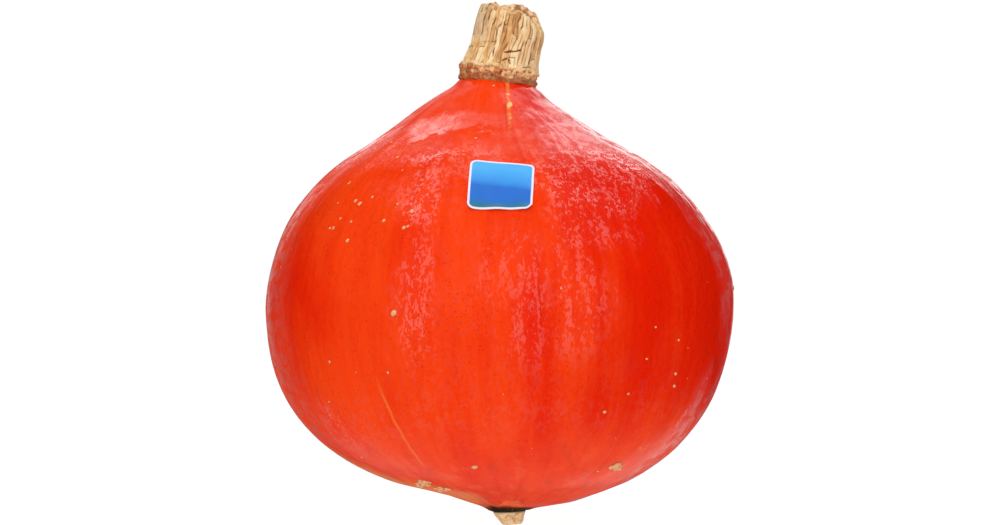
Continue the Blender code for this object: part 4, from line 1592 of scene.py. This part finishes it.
# Soft patches of light on a dome round the squash, which only the gloss of the skin mirrors, in degrees:
# (name, azimuth from the front, half width, elevation, half height, brightness)
GLOW_PATCHES = [
    ("left_window", -38, 21, 14, 50, 1.75),
    ("middle_window", 6, 13, 12, 50, 1.3),
    ("right_window", 36, 19, 10, 40, 1.5),
    ("front_glow", 0, 62, 8, 55, 0.20),
    ("right_upper", 58, 32, 50, 18, 1.7),
    ("left_high_front", -56, 32, 62, 14, 2.0),
    ("left_overhead", -95, 50, 69, 17, 1.9),
    ("left_rear_overhead", -150, 50, 74, 16, 1.0),
    ("right_overhead", 100, 58, 70, 16, 1.6),
    ("right_high_side", 97, 20, 58, 14, 2.2),
    ("right_rear_overhead", 155, 45, 68, 20, 0.8),
    ("left_back_high", -163, 25, 51, 18, 2.9),
    ("left_behind", -172, 20, 23, 16, 1.5),
    ("left_back_strip", -159, 14, 20, 36, 0.34),
    ("left_back_wide", -145, 28, -5, 30, 0.20),
    ("right_back_high", 140, 34, 50, 15, 1.5),
    ("right_back", 154, 13, 36, 17, 3.0),
    ("right_back_low", 172, 15, 15, 23, 1.6),
    ("right_side", 148, 12, 10, 22, 0.25),
    ("behind_high", 180, 18, 30, 24, 1.5),
    ("behind_low", 176, 24, -8, 26, 0.24),
    ("right_below", 152, 25, -32, 22, 0.72),
    ("left_below", -140, 32, -38, 18, 0.42),
]
# Share of a patch that is fully bright
PATCH_CORE = 0.35
# Brightness of the floor as the gloss mirrors it, of the light from all sides, and of what is added behind
FLOOR_GLOW = 0.48
AMBIENT_LIGHT = 0.36
BACKDROP_LIGHT = 0.66
DOME_RADIUS = 3.0


def away_from_front(azimuth, elevation):
    """The direction from the squash at these angles in degrees."""
    around, up = math.radians(azimuth), math.radians(elevation)
    return Vector((math.sin(around) * math.cos(up), -math.cos(around) * math.cos(up), math.sin(up)))


def bare_material(name):
    """(material, graph, surface socket) of a new material without a Principled shader."""
    material = bpy.data.materials.new(name)
    material.use_nodes = True
    tree = material.node_tree
    tree.nodes.remove(tree.nodes["Principled BSDF"])
    return material, Graph(tree), tree.nodes["Material Output"].inputs["Surface"]


def glow_material():
    """The patches of light on the dome, and the pale floor below them."""
    material, g, surface = bare_material("glow")
    x, y, z = g.split(g.scaled(g.object_place(), 1 / DOME_RADIUS))
    up = g.maths("DEGREES", g.maths("ARCSINE", g.maths("MAXIMUM", g.maths("MINIMUM", z, 1), -1)))
    total = FLOOR_GLOW * g.smooth(up, -15, -65)
    for _, azimuth, half_width, elevation, half_height, brightness in GLOW_PATCHES:
        turn = math.radians(azimuth)
        sideways = x * math.cos(turn) + y * math.sin(turn)
        forwards = x * math.sin(turn) - y * math.cos(turn)
        off = g.maths("ABSOLUTE", g.maths("DEGREES", g.maths("ARCTAN2", sideways, forwards)))
        above = g.maths("ABSOLUTE", up - elevation)
        sides = g.smooth(off, half_width, PATCH_CORE * half_width)
        total = total + brightness * (sides * g.smooth(above, half_height, PATCH_CORE * half_height))
    g.feed(surface, g.add("ShaderNodeEmission", inputs={"Color": (1, 1, 1, 1), "Strength": total}))
    material.cycles.emission_sampling = "NONE"
    return material


def floor_material():
    """White floor with only a faint shadow, which lights the squash from below."""
    material, g, surface = bare_material("pale_floor")
    x, y, _ = g.split(g.object_place())
    away = g.hypotenuse(x, y)
    white = 0.985 + 0.025 * g.smooth(away, 0.10, 0.45)
    upward = 0.15 + 0.75 * g.smooth(away, 0.90, 0.20)
    seen = g.add("ShaderNodeLightPath", output="Is Camera Ray")
    strength = white * seen + upward * (1 - seen)
    glow = g.add("ShaderNodeEmission", inputs={"Color": (1, 1, 1, 1), "Strength": strength})
    matt = g.add("ShaderNodeBsdfDiffuse", inputs={"Color": (FLOOR_GREY, FLOOR_GREY, FLOOR_GREY, 1)})
    g.feed(surface, g.add("ShaderNodeAddShader", inputs={0: glow, 1: matt}))
    return material


def add_world(scene):
    """White behind everything, and a dim light from all sides that the gloss doesn't mirror."""
    world = bpy.data.worlds.new("studio")
    scene.world = world
    world.use_nodes = True
    g = Graph(world.node_tree)
    background = world.node_tree.nodes["Background"]
    background.inputs["Color"].default_value = (1, 1, 1, 1)
    seen = g.add("ShaderNodeLightPath", output="Is Camera Ray")
    g.feed(background.inputs["Strength"], AMBIENT_LIGHT + seen * BACKDROP_LIGHT)
    world.cycles_visibility.glossy = False


def add_floor(scene):
    """A wide flat disc just below the squash."""
    disc = bpy.data.meshes.new("floor")
    turns = [FULL_TURN * i / FLOOR_SIDES for i in range(FLOOR_SIDES)]
    corners = [(FLOOR_RADIUS * math.cos(t), FLOOR_RADIUS * math.sin(t), -FLOOR_DROP) for t in turns]
    disc.from_pydata(corners, [], [tuple(range(FLOOR_SIDES))])
    disc.materials.append(floor_material())
    floor = bpy.data.objects.new("floor", disc)
    scene.collection.objects.link(floor)
    floor.visible_glossy = False


def add_lamps(scene, middle):
    """Rectangular lamps that all face the squash."""
    for name, azimuth, elevation, distance, width, height, brightness in LAMPS:
        light = bpy.data.lights.new(name, "AREA")
        light.shape = "RECTANGLE"
        light.size, light.size_y = width, height
        light.energy = brightness * math.pi * width * height
        lamp = bpy.data.objects.new(name, light)
        scene.collection.objects.link(lamp)
        away = away_from_front(azimuth, elevation)
        lamp.location = middle + distance * away
        lamp.rotation_euler = away.to_track_quat("Z", "Y").to_euler()
        lamp.visible_camera = lamp.visible_glossy = False


def add_dome(scene, middle):
    """The dome with the patches of light, which only the gloss of the skin mirrors."""
    ball = bmesh.new()
    bmesh.ops.create_uvsphere(ball, u_segments=64, v_segments=32, radius=DOME_RADIUS)
    shell = bpy.data.meshes.new("glow_dome")
    ball.to_mesh(shell)
    ball.free()
    shell.materials.append(glow_material())
    dome = bpy.data.objects.new("glow_dome", shell)
    scene.collection.objects.link(dome)
    dome.location = middle
    dome.visible_camera = dome.visible_diffuse = dome.visible_shadow = False


def add_camera(scene, stage):
    """A level camera in front of the squash, rolled by the stage's angle."""
    lens = bpy.data.cameras.new("camera")
    lens.sensor_width = SENSOR_WIDTH
    lens.lens = SENSOR_WIDTH * stage.camera_distance / stage.frame_width
    camera = bpy.data.objects.new("camera", lens)
    scene.collection.objects.link(camera)
    camera.location = (stage.aim_x, -stage.camera_distance, stage.aim_z)
    upright = Matrix.Rotation(math.pi / 2, 3, "X")
    camera.rotation_euler = (Matrix.Rotation(stage.roll, 3, "Y") @ upright).to_euler()
    scene.camera = camera


class KURI_OT_stage(bpy.types.Operator):
    """Set up the floor, the soft light and the camera"""

    bl_idname = "kuri.stage"
    bl_label = "Stage"

    def execute(self, context):
        scene, stage = context.scene, context.scene.kuri_stage
        scene.view_settings.view_transform = "Standard"
        middle = Vector((0, 0, stage.aim_z))
        add_world(scene)
        add_floor(scene)
        add_lamps(scene, middle)
        add_dome(scene, middle)
        add_camera(scene, stage)
        return {"FINISHED"}


# ---------------------------------------------------------------- panel and registration

GROUPS = {
    "kuri_fruit": KuriFruit,
    "kuri_specks": KuriSpecks,
    "kuri_stem": KuriStem,
    "kuri_scar": KuriScar,
    "kuri_sticker": KuriSticker,
    "kuri_stage": KuriStage,
}
OPERATORS = [KURI_OT_skin, KURI_OT_specks, KURI_OT_stem, KURI_OT_scar, KURI_OT_sticker, KURI_OT_stage]


class KURI_PT_panel(bpy.types.Panel):
    """The settings of each piece and the button that makes it"""

    bl_idname = "KURI_PT_panel"
    bl_label = "Red Kuri Squash"
    bl_space_type = "VIEW_3D"
    bl_region_type = "UI"
    bl_category = "Squash"

    def draw(self, context):
        for operator, name in zip(OPERATORS, GROUPS):
            box = self.layout.box()
            settings = getattr(context.scene, name)
            for setting in settings.__annotations__:
                box.prop(settings, setting)
            box.operator(operator.bl_idname)


CLASSES = [*GROUPS.values(), *OPERATORS, KURI_PT_panel]


def register():
    for each in CLASSES:
        bpy.utils.register_class(each)
    for name, group in GROUPS.items():
        setattr(bpy.types.Scene, name, PointerProperty(type=group))


def unregister():
    for name in GROUPS:
        delattr(bpy.types.Scene, name)
    for each in reversed(CLASSES):
        bpy.utils.unregister_class(each)


def main():
    register()
    bpy.ops.kuri.skin()
    bpy.ops.kuri.specks()
    bpy.ops.kuri.stem()
    bpy.ops.kuri.scar()
    bpy.ops.kuri.sticker()
    bpy.ops.kuri.stage()


if __name__ == "__main__":
    main()
